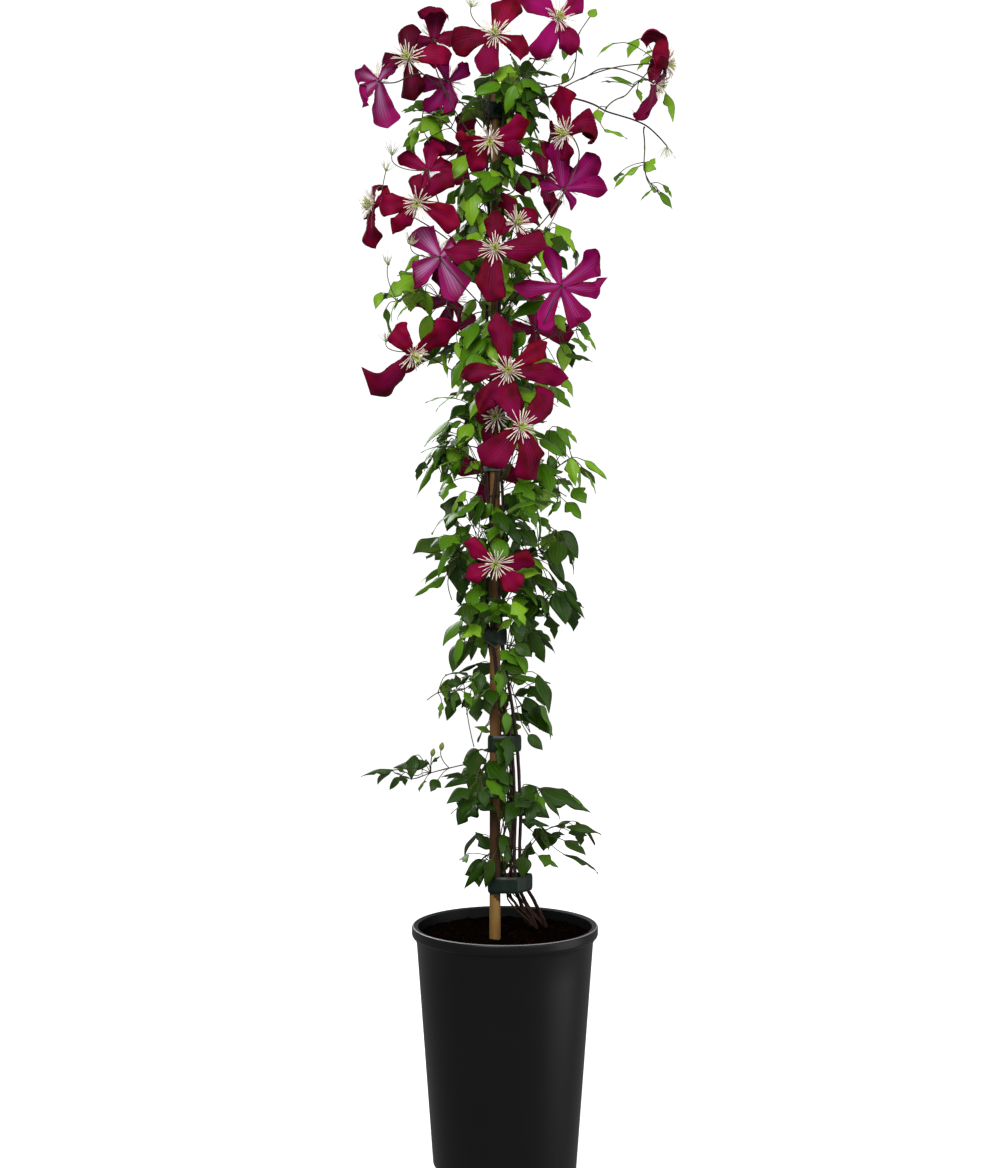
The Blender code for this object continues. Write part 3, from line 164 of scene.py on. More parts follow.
def turned_points(radius, height, sides):
    """Points at these radii and heights, all the way round the upright axis."""
    turn = all_round(sides)
    return np.stack(np.broadcast_arrays(radius * np.cos(turn), radius * np.sin(turn), height),
                    -1).reshape(-1, 3)


def grid_faces(rows, columns):
    """Faces of a grid of points that are numbered row by row; the last column joins the first."""
    column = np.arange(columns)[None, :]
    low = np.arange(rows - 1)[:, None] * columns
    high, after = low + columns, (column + 1) % columns
    return np.stack([low + column, low + after, high + after, high + column], -1).reshape(-1, 4)


def tube(path, radii, sides, level_foot=False):
    """A round bar swept along a path: one ring of points at each place, carried on without twist."""
    path = np.asarray(path, float)
    count = len(path)
    ahead = np.gradient(path, axis=0)
    if level_foot:
        ahead[0] = (0.0, 0.0, 1.0)
    side = square_to((0.9, 0.3, 0.1), ahead[0])
    turn = all_round(sides)
    points = []
    for index in range(count):
        side = square_to(side, ahead[index])
        other = np.cross(unit(ahead[index]), side)
        ring = np.outer(np.cos(turn), side) + np.outer(np.sin(turn), other)
        points.append(path[index] + radii[index] * ring)
    ends = [range(sides)[::-1], range((count - 1) * sides, count * sides)]
    return np.concatenate(points), [*grid_faces(count, sides).tolist(), *map(list, ends)]


def lathe(profile, sides):
    """A closed outline of (radius, height) turned about the upright axis; radius 0 is one point."""
    turn = all_round(sides)
    points, rings = [], []
    for radius, height in profile:
        if radius == 0:
            rings.append([len(points)] * sides)
            points.append((0.0, 0.0, height))
        else:
            rings.append(list(range(len(points), len(points) + sides)))
            points.extend(zip(radius * np.cos(turn), radius * np.sin(turn), [height] * sides))
    faces = []
    for low, high in zip(rings, rings[1:]):
        for step in range(sides):
            after = (step + 1) % sides
            face = tuple(dict.fromkeys((low[step], low[after], high[after], high[step])))
            if len(face) > 2:
                faces.append(face)
    return np.array(points), faces


def prism(outline, inner, low, high):
    """A closed band: two outlines of equal count, one inside the other, between two heights."""
    rows = ((outline, low), (outline, high), (inner, high), (inner, low))
    points = np.array([(x, y, level) for loop, level in rows for x, y in loop])
    return points, (grid_faces(len(rows) + 1, len(outline)) % len(points)).tolist()


def bezier(start, start_pull, end_pull, end, count):
    """Points along a curve that leaves start towards start_pull and reaches end from end_pull."""
    share = np.linspace(0, 1, count)[:, None]
    back = 1 - share
    return (back ** 3 * start + 3 * back ** 2 * share * start_pull
            + 3 * back * share ** 2 * end_pull + share ** 3 * end)

# %% [markdown]
# ## Cane, stems and ties
# Three stems rise from the compost, lean in to the cane and go slowly round it. Each tie is a convex
# loop round whatever stands in it at its height. A stem could be a curve drawn by hand. As a rule of
# height it tells ties and twigs exactly where it is.

# %% Routes
# The level from which the stems hug the cane, and how often they go round it in as many millimetres
HUG_LEVEL, HUG_TURNS = 430.0, 1.25


def hug(level, start_turn):
    """A point beside the cane, going slowly round it with height."""
    turn = start_turn + (level - HUG_LEVEL) / HUG_LEVEL * HUG_TURNS * 2 * math.pi
    return np.array([CANE_X + HUG_RADIUS * math.cos(turn), CANE_Y + HUG_RADIUS * math.sin(turn), level])


STEM_FEET = (
    ((34.0, 19.0), (28.0, 10.0), (14.5, -8.0), (12.5, -9.0), (9.5, -9.5)),
    ((26.0, 13.0), (20.0, 5.0), (9.5, -15.0), (8.0, -17.0), (5.0, -16.5)),
    ((20.0, 24.0), (15.0, 15.0), (6.0, -4.5), (5.5, -3.5), (3.5, -4.5)),
)
STEM_FOOT_LEVELS = (SOIL_LEVEL + GAP, 210.0, 236.0, 292.0, 348.0)
STEM_START_TURNS = (math.radians(20), math.radians(-100), math.radians(140))
STEM_TOPS = (846.0, 872.0, 858.0)


def stem_route(number):
    """Places and radii of a vine stem, from its flat cut at soil level to its tip beside the cane."""
    low = [np.array([*place, level]) for place, level in zip(STEM_FEET[number], STEM_FOOT_LEVELS)]
    turn = STEM_START_TURNS[number]
    levels = np.linspace(HUG_LEVEL, STEM_TOPS[number], 15)
    controls = np.array(low + [hug(level, turn) for level in levels])
    heights = controls[:, 2]
    fine = np.concatenate([np.linspace(heights[0], HUG_LEVEL, 11)[:-1], levels])
    softened = np.stack([smooth_through(heights, controls[:, axis], fine) for axis in (0, 1)], axis=1)
    route = np.column_stack([softened, fine])
    share = (fine - fine[0]) / (fine[-1] - fine[0])
    radii = STEM_RADIUS + (STEM_TOP_RADIUS - STEM_RADIUS) * share
    radii = radii * (1 + 0.35 * np.exp(-(fine - SOIL_LEVEL) / 12.0))
    return route, radii


def smooth_through(heights, values, wanted):
    """A smooth line through given values: each slope is the mean of the two steps beside it."""
    steps = np.diff(heights)
    rises = np.diff(values) / steps
    slopes = np.concatenate([[rises[0]], (rises[:-1] + rises[1:]) / 2, [rises[-1]]])
    index = np.clip(np.searchsorted(heights, wanted, side="right") - 1, 0, len(steps) - 1)
    share = (wanted - heights[index]) / steps[index]
    squared, cubed = share ** 2, share ** 3
    leaving = (cubed - 2 * squared + share) * steps[index] * slopes[index]
    arriving = (cubed - squared) * steps[index] * slopes[index + 1]
    return ((2 * cubed - 3 * squared + 1) * values[index] + leaving
            + (3 * squared - 2 * cubed) * values[index + 1] + arriving)


def place_at(route, height):
    """Where a stem's line lies at a height, seen from above."""
    return np.stack([np.interp(height, route[:, 2], route[:, axis]) for axis in (0, 1)], -1)


def cane_radius(level):
    """The cane's radius, which falls evenly from the compost to the top."""
    share = (level - SOIL_LEVEL) / (CANE_TOP - SOIL_LEVEL)
    return CANE_FOOT_RADIUS + (CANE_TOP_RADIUS - CANE_FOOT_RADIUS) * share


def tie_outline(level, routes, distance, sides=14):
    """A convex outline this far outside the cane and the stems through one tie's height.

    Each side is a straight line pushed out until it just clears every bar; corners are where
    neighbouring lines cross.
    """
    turn = all_round(sides)
    ways = np.column_stack([np.cos(turn), np.sin(turn)])
    reach = ways @ (CANE_X, CANE_Y) + cane_radius(level) + 0.4
    for route, radii in routes:
        for height in np.linspace(level - TIE_HEIGHT / 2, level + TIE_HEIGHT / 2, 5):
            if height < route[-1, 2]:
                radius = np.interp(height, route[:, 2], radii)
                reach = np.maximum(reach, ways @ place_at(route, height) + radius + 0.5)
    reach = reach + distance
    pairs = [[step, (step + 1) % sides] for step in range(sides)]
    return np.array([np.linalg.solve(ways[pair], reach[pair]) for pair in pairs])

# %% [markdown]
# ## What grows where
# Flowers and leaflets that show in the picture are listed by their place in it, because scattered ones
# would make another plant. Depth, lean and the leaflets at the back are drawn by the growth rule.

# %% Flowers
# First the height on the vine where the stalk leaves it, then each flower as its place in the picture, its
# depth, the way it faces in degrees, and its sepals as angle, length and curl.
FLOWERS = {
    "flower_pair_top_left": (838,
        ((408, 59), -42, (-5, 0), ((92, 31, 40), (183, 36, 150), (282, 33, 30), (10, 36, 40))),
        ((378, 81), -74, (-140, 30), ((205, 34, 150), (298, 38, 30), (150, 24, 60), (60, 22, 90)))),
    "flower_pair_top_back": (826,
        ((434, 40), -20, (168, 25), ((78, 42, 150), (10, 20, 90), (190, 20, 90), (265, 22, 60))),
        ((448, 82), -16, (165, 5),
         ((235, 36, 100), (278, 36, 110), (30, 26, 100), (180, 26, 60), (110, 22, 60)))),
    "flower_top": (843,
        ((495, 35), -58, (0, 5), ((70, 36, 30), (190, 40, 70), (256, 33, 30), (335, 36, 110)))),
    "flower_top_right": (868,
        ((558, 19), -25, (15, 5), ((150, 36, 70), (40, 33, 50), (245, 38, 60), (298, 32, 60)))),
    "flower_pair_far_right": (862,
        ((664, 64), -8, (98, 0), ((88, 40, 160), (0, 36, 130), (272, 30, 110), (180, 26, 110))),
        ((655, 84), -16, (118, -18), ((268, 40, 60), (235, 34, 50), (0, 30, 110), (85, 22, 120)))),
    "flower_right": (744,
        ((567, 134), -40, (-48, 0), ((102, 38, 30), (15, 50, 300), (258, 22, 80), (168, 28, 60))),
        ((563, 189), -12, (170, 38),
         ((92, 44, 20), (46, 42, 25), (8, 36, 40), (168, 22, 60), (300, 20, 90)))),
    "flower_neck": (778,
        ((490, 139), -55, (0, -35), ((27, 33, 30), (329, 29, 30), (190, 28, 40), (238, 31, 30)))),
    "flower_pair_left": (735,
        ((418, 202), -52, (-5, -25),
         ((43, 36, 30), (97, 28, 120), (186, 33, 40), (232, 31, 30), (332, 36, 30))),
        ((428, 170), -14, (180, 20), ((150, 28, 50), (80, 24, 50), (20, 22, 60), (250, 20, 60)))),
    "flower_far_left": (728,
        ((374, 204), -24, (-62, 5), ((100, 26, 150), (268, 36, 50), (180, 22, 90), (0, 20, 90)))),
    "flower_striped": (690,
        ((440, 257), -62, (175, 10), ((128, 38, 130), (215, 38, 140), (295, 40, 60), (40, 24, 120)))),
    "flower_middle": (686,
        ((495, 249), -68, (0, 0), ((92, 30, 25), (182, 38, 25), (262, 41, 30), (356, 39, 30)))),
    "flower_middle_back": (694,
        ((516, 224), -30, (20, 10), ((112, 27, 40), (42, 27, 60), (300, 20, 60), (200, 20, 60)))),
    "flower_magenta": (655,
        ((561, 286), -48, (178, 0),
         ((106, 33, 20), (33, 52, 130), (350, 46, 130), (298, 50, 120), (240, 38, 60), (183, 37, 20)))),
    "flower_low_left": (626,
        ((412, 354), -45, (45, -35), ((21, 46, 40), (130, 34, 110), (236, 48, 40), (285, 26, 90)))),
    "flower_centre": (604,
        ((508, 371), -60, (0, 0),
         ((101, 45, 25), (33, 40, 50), (353, 46, 40), (282, 37, 30), (236, 40, 30), (184, 39, 40)))),
    "flower_pair_low": (556,
        ((520, 427), -70, (15, 0), ((118, 36, 30), (38, 39, 30), (291, 47, 90), (224, 42, 30))),
        ((497, 417), -38, (-10, 0), ((108, 22, 40), (235, 22, 60), (180, 18, 60)))),
    "flower_lowest": (455,
        ((496, 563), -54, (0, -12), ((148, 29, 30), (205, 27, 40), (0, 29, 30), (308, 30, 30)))),
    "flower_pair_back_high": (762,
        ((462, 150), 48, (165, 5), ((80, 32, 40), (170, 34, 50), (260, 33, 60), (350, 34, 40))),
        ((545, 178), 50, (-160, 10), ((100, 32, 40), (190, 34, 50), (280, 33, 60), (10, 34, 40)))),
    "flower_pair_back_mid": (640,
        ((452, 300), 52, (160, 0),
         ((60, 34, 40), (120, 32, 50), (185, 34, 50), (245, 33, 60), (310, 34, 40))),
        ((535, 330), 55, (-165, 5), ((95, 34, 40), (180, 34, 50), (275, 33, 60), (0, 34, 40)))),
    "flower_back_low": (520,
        ((488, 470), 50, (168, 6), ((80, 32, 40), (170, 34, 50), (260, 33, 60), (350, 34, 40)))),
}

# %% Leafy shoots
# Height on the vine, places of the stem with a depth, and the leaflets: base, tip, width over length and,
# for one that has to be in front of the cane (1) or behind it (-1), its side.
SHOOTS = {
    "leaves_low_right": (262, ((524, 850, -4), (543, 832, -2), (566, 822, 4)), (
        (501, 845, 536, 840, 0.62, 1), (524, 856, 522, 878, 0.95, 1), (538, 856, 559, 867, 0.45),
        (516, 887, 534, 896, 0.6, 1), (520, 820, 550, 825, 0.35), (534, 829, 546, 839, 0.6),
        (557, 827, 571, 820, 0.5), (566, 827, 603, 832, 0.26), (530, 848, 520, 862, 0.5, -1))),
    "leaves_low_right_upper": (303, ((520, 800, -4), (532, 794, 0), (541, 789, 4)), (
        (517, 792, 551, 818, 0.6), (539, 789, 592, 812, 0.34), (515, 816, 527, 808, 0.4),
        (512, 800, 500, 820, 0.5, -1))),
    "leaves_low_left": (268, ((490, 853, -8), (484, 857, -4), (480, 862, 2)), (
        (490, 849, 475, 831, 0.6), (486, 860, 464, 889, 0.3), (492, 859, 485, 889, 0.4),
        (492, 862, 506, 882, 0.5, -1))),
    "leaves_left_mid": (306, ((488, 793, -16), (482, 778, -12), (478, 758, -8)), (
        (475, 797, 455, 825, 0.75), (476, 803, 498, 809, 0.6, 1), (510, 787, 477, 795, 0.62, 1),
        (484, 770, 444, 787, 0.42), (479, 750, 463, 759, 0.8), (494, 775, 510, 762, 0.5, -1))),
    "leaves_left_arm": (330, ((469, 764, 2), (434, 772, 6), (404, 779, 6), (395, 773, 4)), (
        (429, 763, 393, 767, 0.38), (394, 770, 360, 774, 0.2), (399, 777, 389, 790, 0.6),
        (432, 762, 440, 756, 0.4), (404, 772, 396, 766, 0.5))),
    "leaves_mid_left_sprig": (412, (
        (483, 663, 2), (476, 678, 0), (462, 690, -4), (440, 692, -6), (427, 700, -8)), (
        (479, 663, 454, 674, 0.18), (470, 675, 457, 687, 0.25), (456, 691, 447, 722, 0.5),
        (442, 702, 439, 719, 0.3), (470, 694, 461, 708, 0.5))),
    "leaves_mid_right": (400, ((504, 690, -18), (516, 697, -10), (524, 712, -8), (530, 732, -8)), (
        (502, 677, 551, 681, 0.22), (489, 677, 501, 694, 0.5, 1), (490, 687, 493, 718, 0.7, 1),
        (501, 689, 519, 720, 0.5, 1), (515, 694, 532, 690, 0.6), (522, 705, 555, 734, 0.52),
        (528, 735, 544, 750, 0.6), (500, 730, 517, 744, 0.7, 1), (490, 732, 475, 726, 0.45),
        (510, 715, 530, 720, 0.5, -1))),
    "leaves_band_left": (452, ((488, 612, -14), (479, 625, -12), (476, 636, -8)), (
        (506, 604, 471, 625, 0.6, 1), (475, 631, 471, 661, 0.42), (480, 632, 485, 659, 0.55),
        (480, 599, 457, 621, 0.3), (500, 651, 519, 665, 0.62, 1), (512, 620, 497, 631, 0.6, 1))),
    "leaves_band_right": (450, ((520, 618, -10), (536, 606, -6), (552, 594, 0)), (
        (522, 599, 536, 616, 0.62), (537, 595, 550, 614, 0.72), (522, 622, 517, 648, 0.55),
        (530, 632, 545, 664, 0.5), (555, 594, 568, 620, 0.45), (564, 590, 585, 618, 0.25),
        (512, 606, 524, 625, 0.6, -1))),
    "leaves_side_left_low": (500, ((484, 545, -8), (470, 542, -8), (458, 556, -6), (448, 570, -4)), (
        (458, 496, 447, 531, 0.62), (479, 496, 467, 522, 0.6), (492, 504, 480, 521, 0.6),
        (457, 526, 472, 544, 0.62), (456, 535, 442, 565, 0.58), (455, 564, 420, 579, 0.2),
        (446, 576, 413, 596, 0.25), (456, 565, 465, 598, 0.45), (475, 579, 482, 597, 0.5),
        (449, 515, 460, 528, 0.6, -1))),
    "leaves_side_left_high": (556, ((482, 452, -8), (468, 446, -8), (456, 444, -6), (445, 450, -4)), (
        (465, 405, 449, 420, 0.75), (481, 417, 464, 430, 0.62), (461, 421, 441, 434, 0.35),
        (450, 446, 461, 472, 0.62), (457, 435, 470, 460, 0.5), (441, 474, 455, 485, 0.8),
        (480, 461, 464, 473, 0.62), (444, 449, 415, 496, 0.16), (474, 425, 482, 445, 0.5, -1))),
    "leaves_side_right_low": (478, ((514, 565, -6), (530, 555, -4), (545, 545, -2), (556, 530, 0)), (
        (557, 532, 580, 558, 0.7), (541, 540, 563, 536, 0.5), (505, 522, 523, 546, 0.62),
        (537, 545, 514, 527, 0.6), (535, 547, 525, 563, 0.75), (522, 550, 492, 558, 0.5),
        (536, 562, 532, 590, 0.62), (547, 578, 550, 597, 0.8), (550, 555, 565, 585, 0.45),
        (565, 581, 578, 601, 0.35), (541, 517, 552, 532, 0.5))),
    "leaves_side_right_high": (540, ((514, 492, -6), (534, 482, -4), (552, 470, -2), (572, 458, 0)), (
        (547, 430, 567, 456, 0.6), (557, 426, 571, 449, 0.42), (565, 428, 578, 443, 0.3),
        (550, 455, 555, 478, 0.5), (570, 458, 575, 486, 0.52), (584, 460, 609, 478, 0.3),
        (530, 485, 541, 509, 0.75), (510, 505, 531, 521, 0.52), (561, 501, 547, 516, 0.35),
        (566, 502, 582, 518, 0.75), (502, 477, 519, 492, 0.6, 1), (525, 460, 534, 478, 0.6, -1))),
    "leaves_upper_left": (655, ((474, 322, 0), (450, 305, -4), (424, 290, -6), (397, 301, -6)), (
        (419, 276, 386, 297, 0.62), (422, 287, 407, 309, 0.72), (419, 255, 404, 272, 0.5),
        (381, 292, 375, 308, 0.62), (425, 292, 431, 318, 0.5), (430, 315, 421, 346, 0.5),
        (475, 299, 460, 321, 0.62), (457, 342, 461, 362, 0.5), (442, 352, 448, 378, 0.26),
        (457, 260, 480, 285, 0.5))),
    "leaves_upper_middle": (672, ((508, 320, -4), (512, 300, -2), (516, 280, 0)), (
        (522, 277, 500, 295, 0.52), (545, 300, 511, 317, 0.52), (525, 332, 512, 351, 0.72),
        (500, 325, 485, 345, 0.6, -1), (495, 300, 480, 322, 0.6, -1), (505, 340, 520, 362, 0.6, -1))),
    "leaves_upper_right": (630, ((520, 352, 0), (542, 340, 2), (560, 334, 4), (576, 330, 4)), (
        (555, 315, 566, 332, 0.72), (580, 329, 597, 350, 0.3), (562, 375, 574, 397, 0.42),
        (546, 387, 571, 406, 0.5), (528, 372, 545, 385, 0.5, -1), (464, 400, 480, 394, 0.5, -1))),
    "leaves_shoulder_right": (712, ((518, 262, 0), (532, 246, 2), (548, 232, 2)), (
        (556, 224, 577, 250, 0.46), (545, 227, 551, 242, 0.6), (542, 241, 541, 254, 0.6),
        (520, 240, 535, 262, 0.6, -1), (558, 256, 568, 270, 0.6, -1))),
    "leaves_shoulder_left": (742, ((490, 222, 0), (480, 210, 0), (470, 205, 0)), (
        (462, 205, 475, 220, 0.6), (490, 201, 513, 214, 0.5), (502, 186, 476, 200, 0.6),
        (497, 160, 490, 177, 0.6), (502, 162, 517, 180, 0.72), (478, 222, 460, 238, 0.6, -1))),
    "leaves_neck_left": (806, ((482, 150, -4), (464, 140, -6), (440, 118, -8), (424, 108, -8)), (
        (429, 101, 404, 110, 0.45), (422, 117, 446, 140, 0.72), (416, 127, 411, 150, 0.42),
        (438, 118, 451, 115, 0.3), (470, 156, 445, 181, 0.6), (444, 162, 425, 168, 0.5),
        (475, 130, 460, 146, 0.5, -1))),
    "leaves_neck_right": (790, ((514, 158, -4), (526, 152, -4), (534, 160, -2), (538, 172, 0)), (
        (520, 139, 547, 155, 0.42), (532, 176, 540, 187, 0.6), (512, 150, 524, 168, 0.6, -1),
        (520, 175, 532, 192, 0.6))),
    "leaves_crown": (866, ((505, 96, -6), (507, 88, -4), (512, 80, -2), (526, 74, 0)), (
        (529, 77, 552, 109, 0.46), (501, 84, 474, 93, 0.66, 1), (504, 78, 481, 77, 0.45),
        (515, 85, 505, 114, 0.52, 1), (524, 76, 514, 61, 0.52), (516, 80, 494, 98, 0.62, 1),
        (508, 84, 524, 98, 0.6, -1))),
}

# Sprigs on the arching bough: share of the bough where each leaves it, then as above
SPRIGS = {
    "sprig_up": (0.66, ((622, 98, 2), (634, 86, 2), (648, 72, 0), (656, 60, 0)), (
        (614, 43, 596, 55, 0.25), (637, 39, 627, 56, 0.62), (652, 56, 636, 70, 0.4),
        (653, 50, 643, 55, 0.5), (632, 84, 605, 76, 0.3), (637, 81, 651, 78, 0.4),
        (637, 89, 642, 102, 0.5), (666, 93, 674, 121, 0.35), (604, 130, 628, 137, 0.3))),
    "sprig_down": (0.86, ((645, 142, 4), (644, 160, 4), (647, 178, 4), (658, 192, 4)), (
        (645, 172, 655, 157, 0.72), (639, 166, 612, 187, 0.2), (660, 192, 674, 208, 0.62),
        (650, 186, 662, 195, 0.4), (650, 191, 640, 200, 0.3))),
    "sprig_top": (0.3, ((570, 80, -2), (580, 30, -2), (589, 18, -2)), (
        (590, 17, 596, 8, 1.0), (576, 44, 584, 56, 0.35), (564, 90, 574, 100, 0.5, -1))),
}

ALL_SHOOTS = SHOOTS | SPRIGS

# %% Solids of the pot, cane, stems and ties
def wall_radius(height):
    """The pot's outer radius at a height on its straight wall."""
    slope = (POT_BODY_TOP_RADIUS - POT_BASE_RADIUS) / (POT_HEIGHT - POT_LIP_HEIGHT)
    return POT_BASE_RADIUS + slope * height


def pot_shape():
    """The pot's outline, turned: up the outside, over the lip and down the inside."""
    lip = POT_HEIGHT - POT_LIP_HEIGHT
    profile = [(0, 0), (wall_radius(0) - 1.0, 0), (wall_radius(1.5), 1.5), (wall_radius(lip - 6), lip - 6),
               (POT_TOP_RADIUS - 0.6, lip - 2), (POT_TOP_RADIUS, lip), (POT_TOP_RADIUS, POT_HEIGHT - 1.2),
               (POT_TOP_RADIUS - 1.2, POT_HEIGHT), (POT_TOP_RADIUS - 2.6, POT_HEIGHT - 0.4),
               (wall_radius(lip) - POT_WALL, lip - 1), (wall_radius(POT_FLOOR) - POT_WALL, POT_FLOOR),
               (0, POT_FLOOR)]
    return lathe(profile, POT_SIDES)


def soil_shape():
    """The compost as a turned block that stands a little clear of the wall."""
    low, high = POT_FLOOR + GAP, SOIL_LEVEL
    clear_of_wall = POT_WALL + GAP + 0.1
    profile = [(0, low), (wall_radius(low) - clear_of_wall, low),
               (wall_radius(high - 1) - clear_of_wall, high), (0, high)]
    return lathe(profile, POT_SIDES)


def cane_shape():
    """The cane as an eight-sided bar with a swelling at each joint."""
    levels, radii = [CANE_FOOT], [cane_radius(SOIL_LEVEL)]
    for joint in CANE_JOINTS:
        for offset, swell in ((-4.0, 0.0), (0.0, 0.35), (4.0, 0.0)):
            levels.append(joint + offset)
            radii.append(min(cane_radius(joint + offset) + swell, cane_radius(SOIL_LEVEL)))
    levels.append(CANE_TOP)
    radii.append(CANE_TOP_RADIUS)
    return tube([(CANE_X, CANE_Y, level) for level in levels], radii, 8)


def tie_shape(level, routes):
    """The band between the outline round the stems and the same a wall further out."""
    inner = tie_outline(level, routes, 0.0)
    outer = tie_outline(level, routes, TIE_WALL)
    return prism(outer, inner, level - TIE_HEIGHT / 2, level + TIE_HEIGHT / 2)


def hardware_shapes(routes):
    """The pot, soil, cane, stems and ties, which nothing that grows may touch."""
    stems = [tube(*route, 5, level_foot=True) for route in routes]
    ties = [tie_shape(level, routes) for level in TIE_LEVELS]
    return [pot_shape(), soil_shape(), cane_shape(), *stems, *ties]

# %% [markdown]
# ## Leaves and flowers as simple solids
# A leaflet is a flat lozenge with a raised midrib, a sepal a bent one, and a flower's middle a cone.

# %% Leaves and flowers as simple solids
def facing_of(turned, raised):
    """The way something faces, from degrees turned off the viewer to the right and degrees raised."""
    turned, raised = math.radians(turned), math.radians(raised)
    level = math.cos(raised)
    return np.array([math.sin(turned) * level, -math.cos(turned) * level, math.sin(raised)])


def place_of(point):
    """Where a point shows in the picture."""
    size = (point[1] - EYE_Y) / PICTURE_SCALE
    return np.array([PICTURE_CENTRE[0] + (point[0] - EYE_X) / size,
                     PICTURE_CENTRE[1] - (point[2] - EYE_Z) / size])


def lengths_along(places):
    """How far along its line each place lies."""
    return np.concatenate([[0.0], np.cumsum(np.linalg.norm(np.diff(places, axis=0), axis=1))])


def curve_through(places, count):
    """Evenly shared points on a smooth curve through the given places."""
    places = np.asarray(places, float)
    spans = lengths_along(places)
    wanted = np.linspace(0, spans[-1], count)
    return np.stack([smooth_through(spans, places[:, axis], wanted) for axis in range(3)], axis=1)


def leaf_shape(leaf, spare=0.0):
    """A leaflet of eight faces: base, tip, two sides and a midrib that stands a little above them."""
    base, tip, facing, width = leaf
    along = tip - base
    length = np.linalg.norm(along)
    ahead = along / length
    up = square_to(facing, ahead)
    side = np.cross(ahead, up)
    middle = base + along * 0.42 + up * length * 0.07
    half = width * length / 2 + spare
    thick = LEAF_THICKNESS / 2 + spare
    sink = up * length * 0.05
    points = [base - ahead * spare, tip + ahead * spare,
              middle + side * half - sink, middle - side * half - sink,
              middle + up * thick, middle - up * thick]
    faces = [(0, 2, 4), (0, 4, 3), (1, 4, 2), (1, 3, 4), (0, 5, 2), (0, 3, 5), (1, 2, 5), (1, 5, 3)]
    return np.array(points), faces


def sepal_line(length, curl, share):
    """How far out and up a sepal's middle lies, and its slope, at shares of its length.

    The slope starts a little raised and turns back as the 1.6th power of the share.
    """
    steps = np.linspace(0, 1, 61)
    slope = np.radians(SEPAL_LIFT - curl * steps ** 1.6)
    middle = (slope[1:] + slope[:-1]) / 2
    out = np.concatenate([[0.0], np.cumsum(np.cos(middle))]) * length / 60
    rise = np.concatenate([[0.0], np.cumsum(np.sin(middle))]) * length / 60
    return np.interp(share, steps, out), np.interp(share, steps, rise), np.interp(share, steps, slope)


def sepal_shape(centre, facing, direction, length, curl, spare=0.0):
    """A sepal of sixteen faces: two crosswise rows between a pointed base and a pointed tip."""
    side = np.cross(facing, direction)
    share = np.array([0.0, 0.45, 0.78, 1.0])
    out, rise, slope = sepal_line(length, curl, share)
    points = []
    for number in range(4):
        spot = centre + direction * (1.0 + out[number]) + facing * rise[number]
        normal = facing * math.cos(slope[number]) - direction * math.sin(slope[number])
        if number in (0, 3):
            points.append(spot)
            continue
        half = SEPAL_HALF_WIDTH * length * (0.86 if number == 1 else 0.93) + spare
        thick = normal * (SEPAL_THICKNESS / 2 + spare)
        points += [spot + side * half, spot + thick, spot - side * half, spot - thick]
    faces = [(0, 1, 2), (0, 2, 3), (1, 5, 6), (1, 6, 2), (2, 6, 7), (2, 7, 3), (5, 9, 6), (6, 9, 7)]
    faces += [(0, 4, 1), (0, 3, 4), (1, 8, 5), (1, 4, 8), (4, 7, 8), (4, 3, 7), (5, 8, 9), (8, 7, 9)]
    return np.array(points), faces


def boss_shape(centre, facing, spare=0.0):
    """The stamens in front of a flower's middle, and the swollen end of the stalk behind it."""
    steps = np.array([-5.0, -0.5, 8.0])
    radii = np.array([1.4, 3.4, 7.0]) + spare
    path = centre + np.outer(steps, facing)
    return tube(path, radii, 5)


def petals_of(flower):
    """The way a flower faces, and its sepals as (direction, length, curl)."""
    facing = facing_of(*flower[2])
    turns = [(math.radians(angle), length, curl) for angle, length, curl in flower[3]]
    return facing, [(square_to((math.cos(turned), 0.0, math.sin(turned)), facing), length, curl)
                    for turned, length, curl in turns]


def flower_shapes(flower, depth, spare=0.0):
    """The shapes of one flower head: its boss, then its sepals."""
    centre = seen(flower[0], depth)
    facing, petals = petals_of(flower)
    return [boss_shape(centre, facing, spare),
            *(sepal_shape(centre, facing, *petal, spare) for petal in petals)]

# %% [markdown]
# ## Keeping clear
# Everything placed so far is kept in one list, and a new part is tried against it. A tree of boxes round
# each mesh's faces (a BVH tree) tells quickly whether two meshes cross.

# %% Keeping clear
class Crowd:
    """What has been placed so far, and whether something new would touch it."""

    def __init__(self):
        self.items = []

    def add(self, shape, owner, kind):
        """Keeps a shape with its box, the node that owns it and its kind."""
        points, faces = shape
        tree = BVHTree.FromPolygons(points.tolist(), faces)
        self.items.append((tree, points.min(axis=0), points.max(axis=0), owner, kind))

    def clear(self, shape, owner, own_kinds=("bar", "blade")):
        """Whether a shape keeps clear of all but its own node's parts of the kinds named."""
        points, faces = shape
        low, high = points.min(axis=0), points.max(axis=0)
        near = [item for item in self.items
                if not (item[3] == owner and item[4] in own_kinds)
                and (item[1] <= high).all() and (item[2] >= low).all()]
        if not near:
            return True
        tree = BVHTree.FromPolygons(points.tolist(), faces)
        return not any(tree.overlap(item[0]) for item in near)


def bar(path, radii, spare=0.0):
    """A three-sided bar, thicker all round by the spare room."""
    return tube(path, np.asarray(radii) + spare, 3)


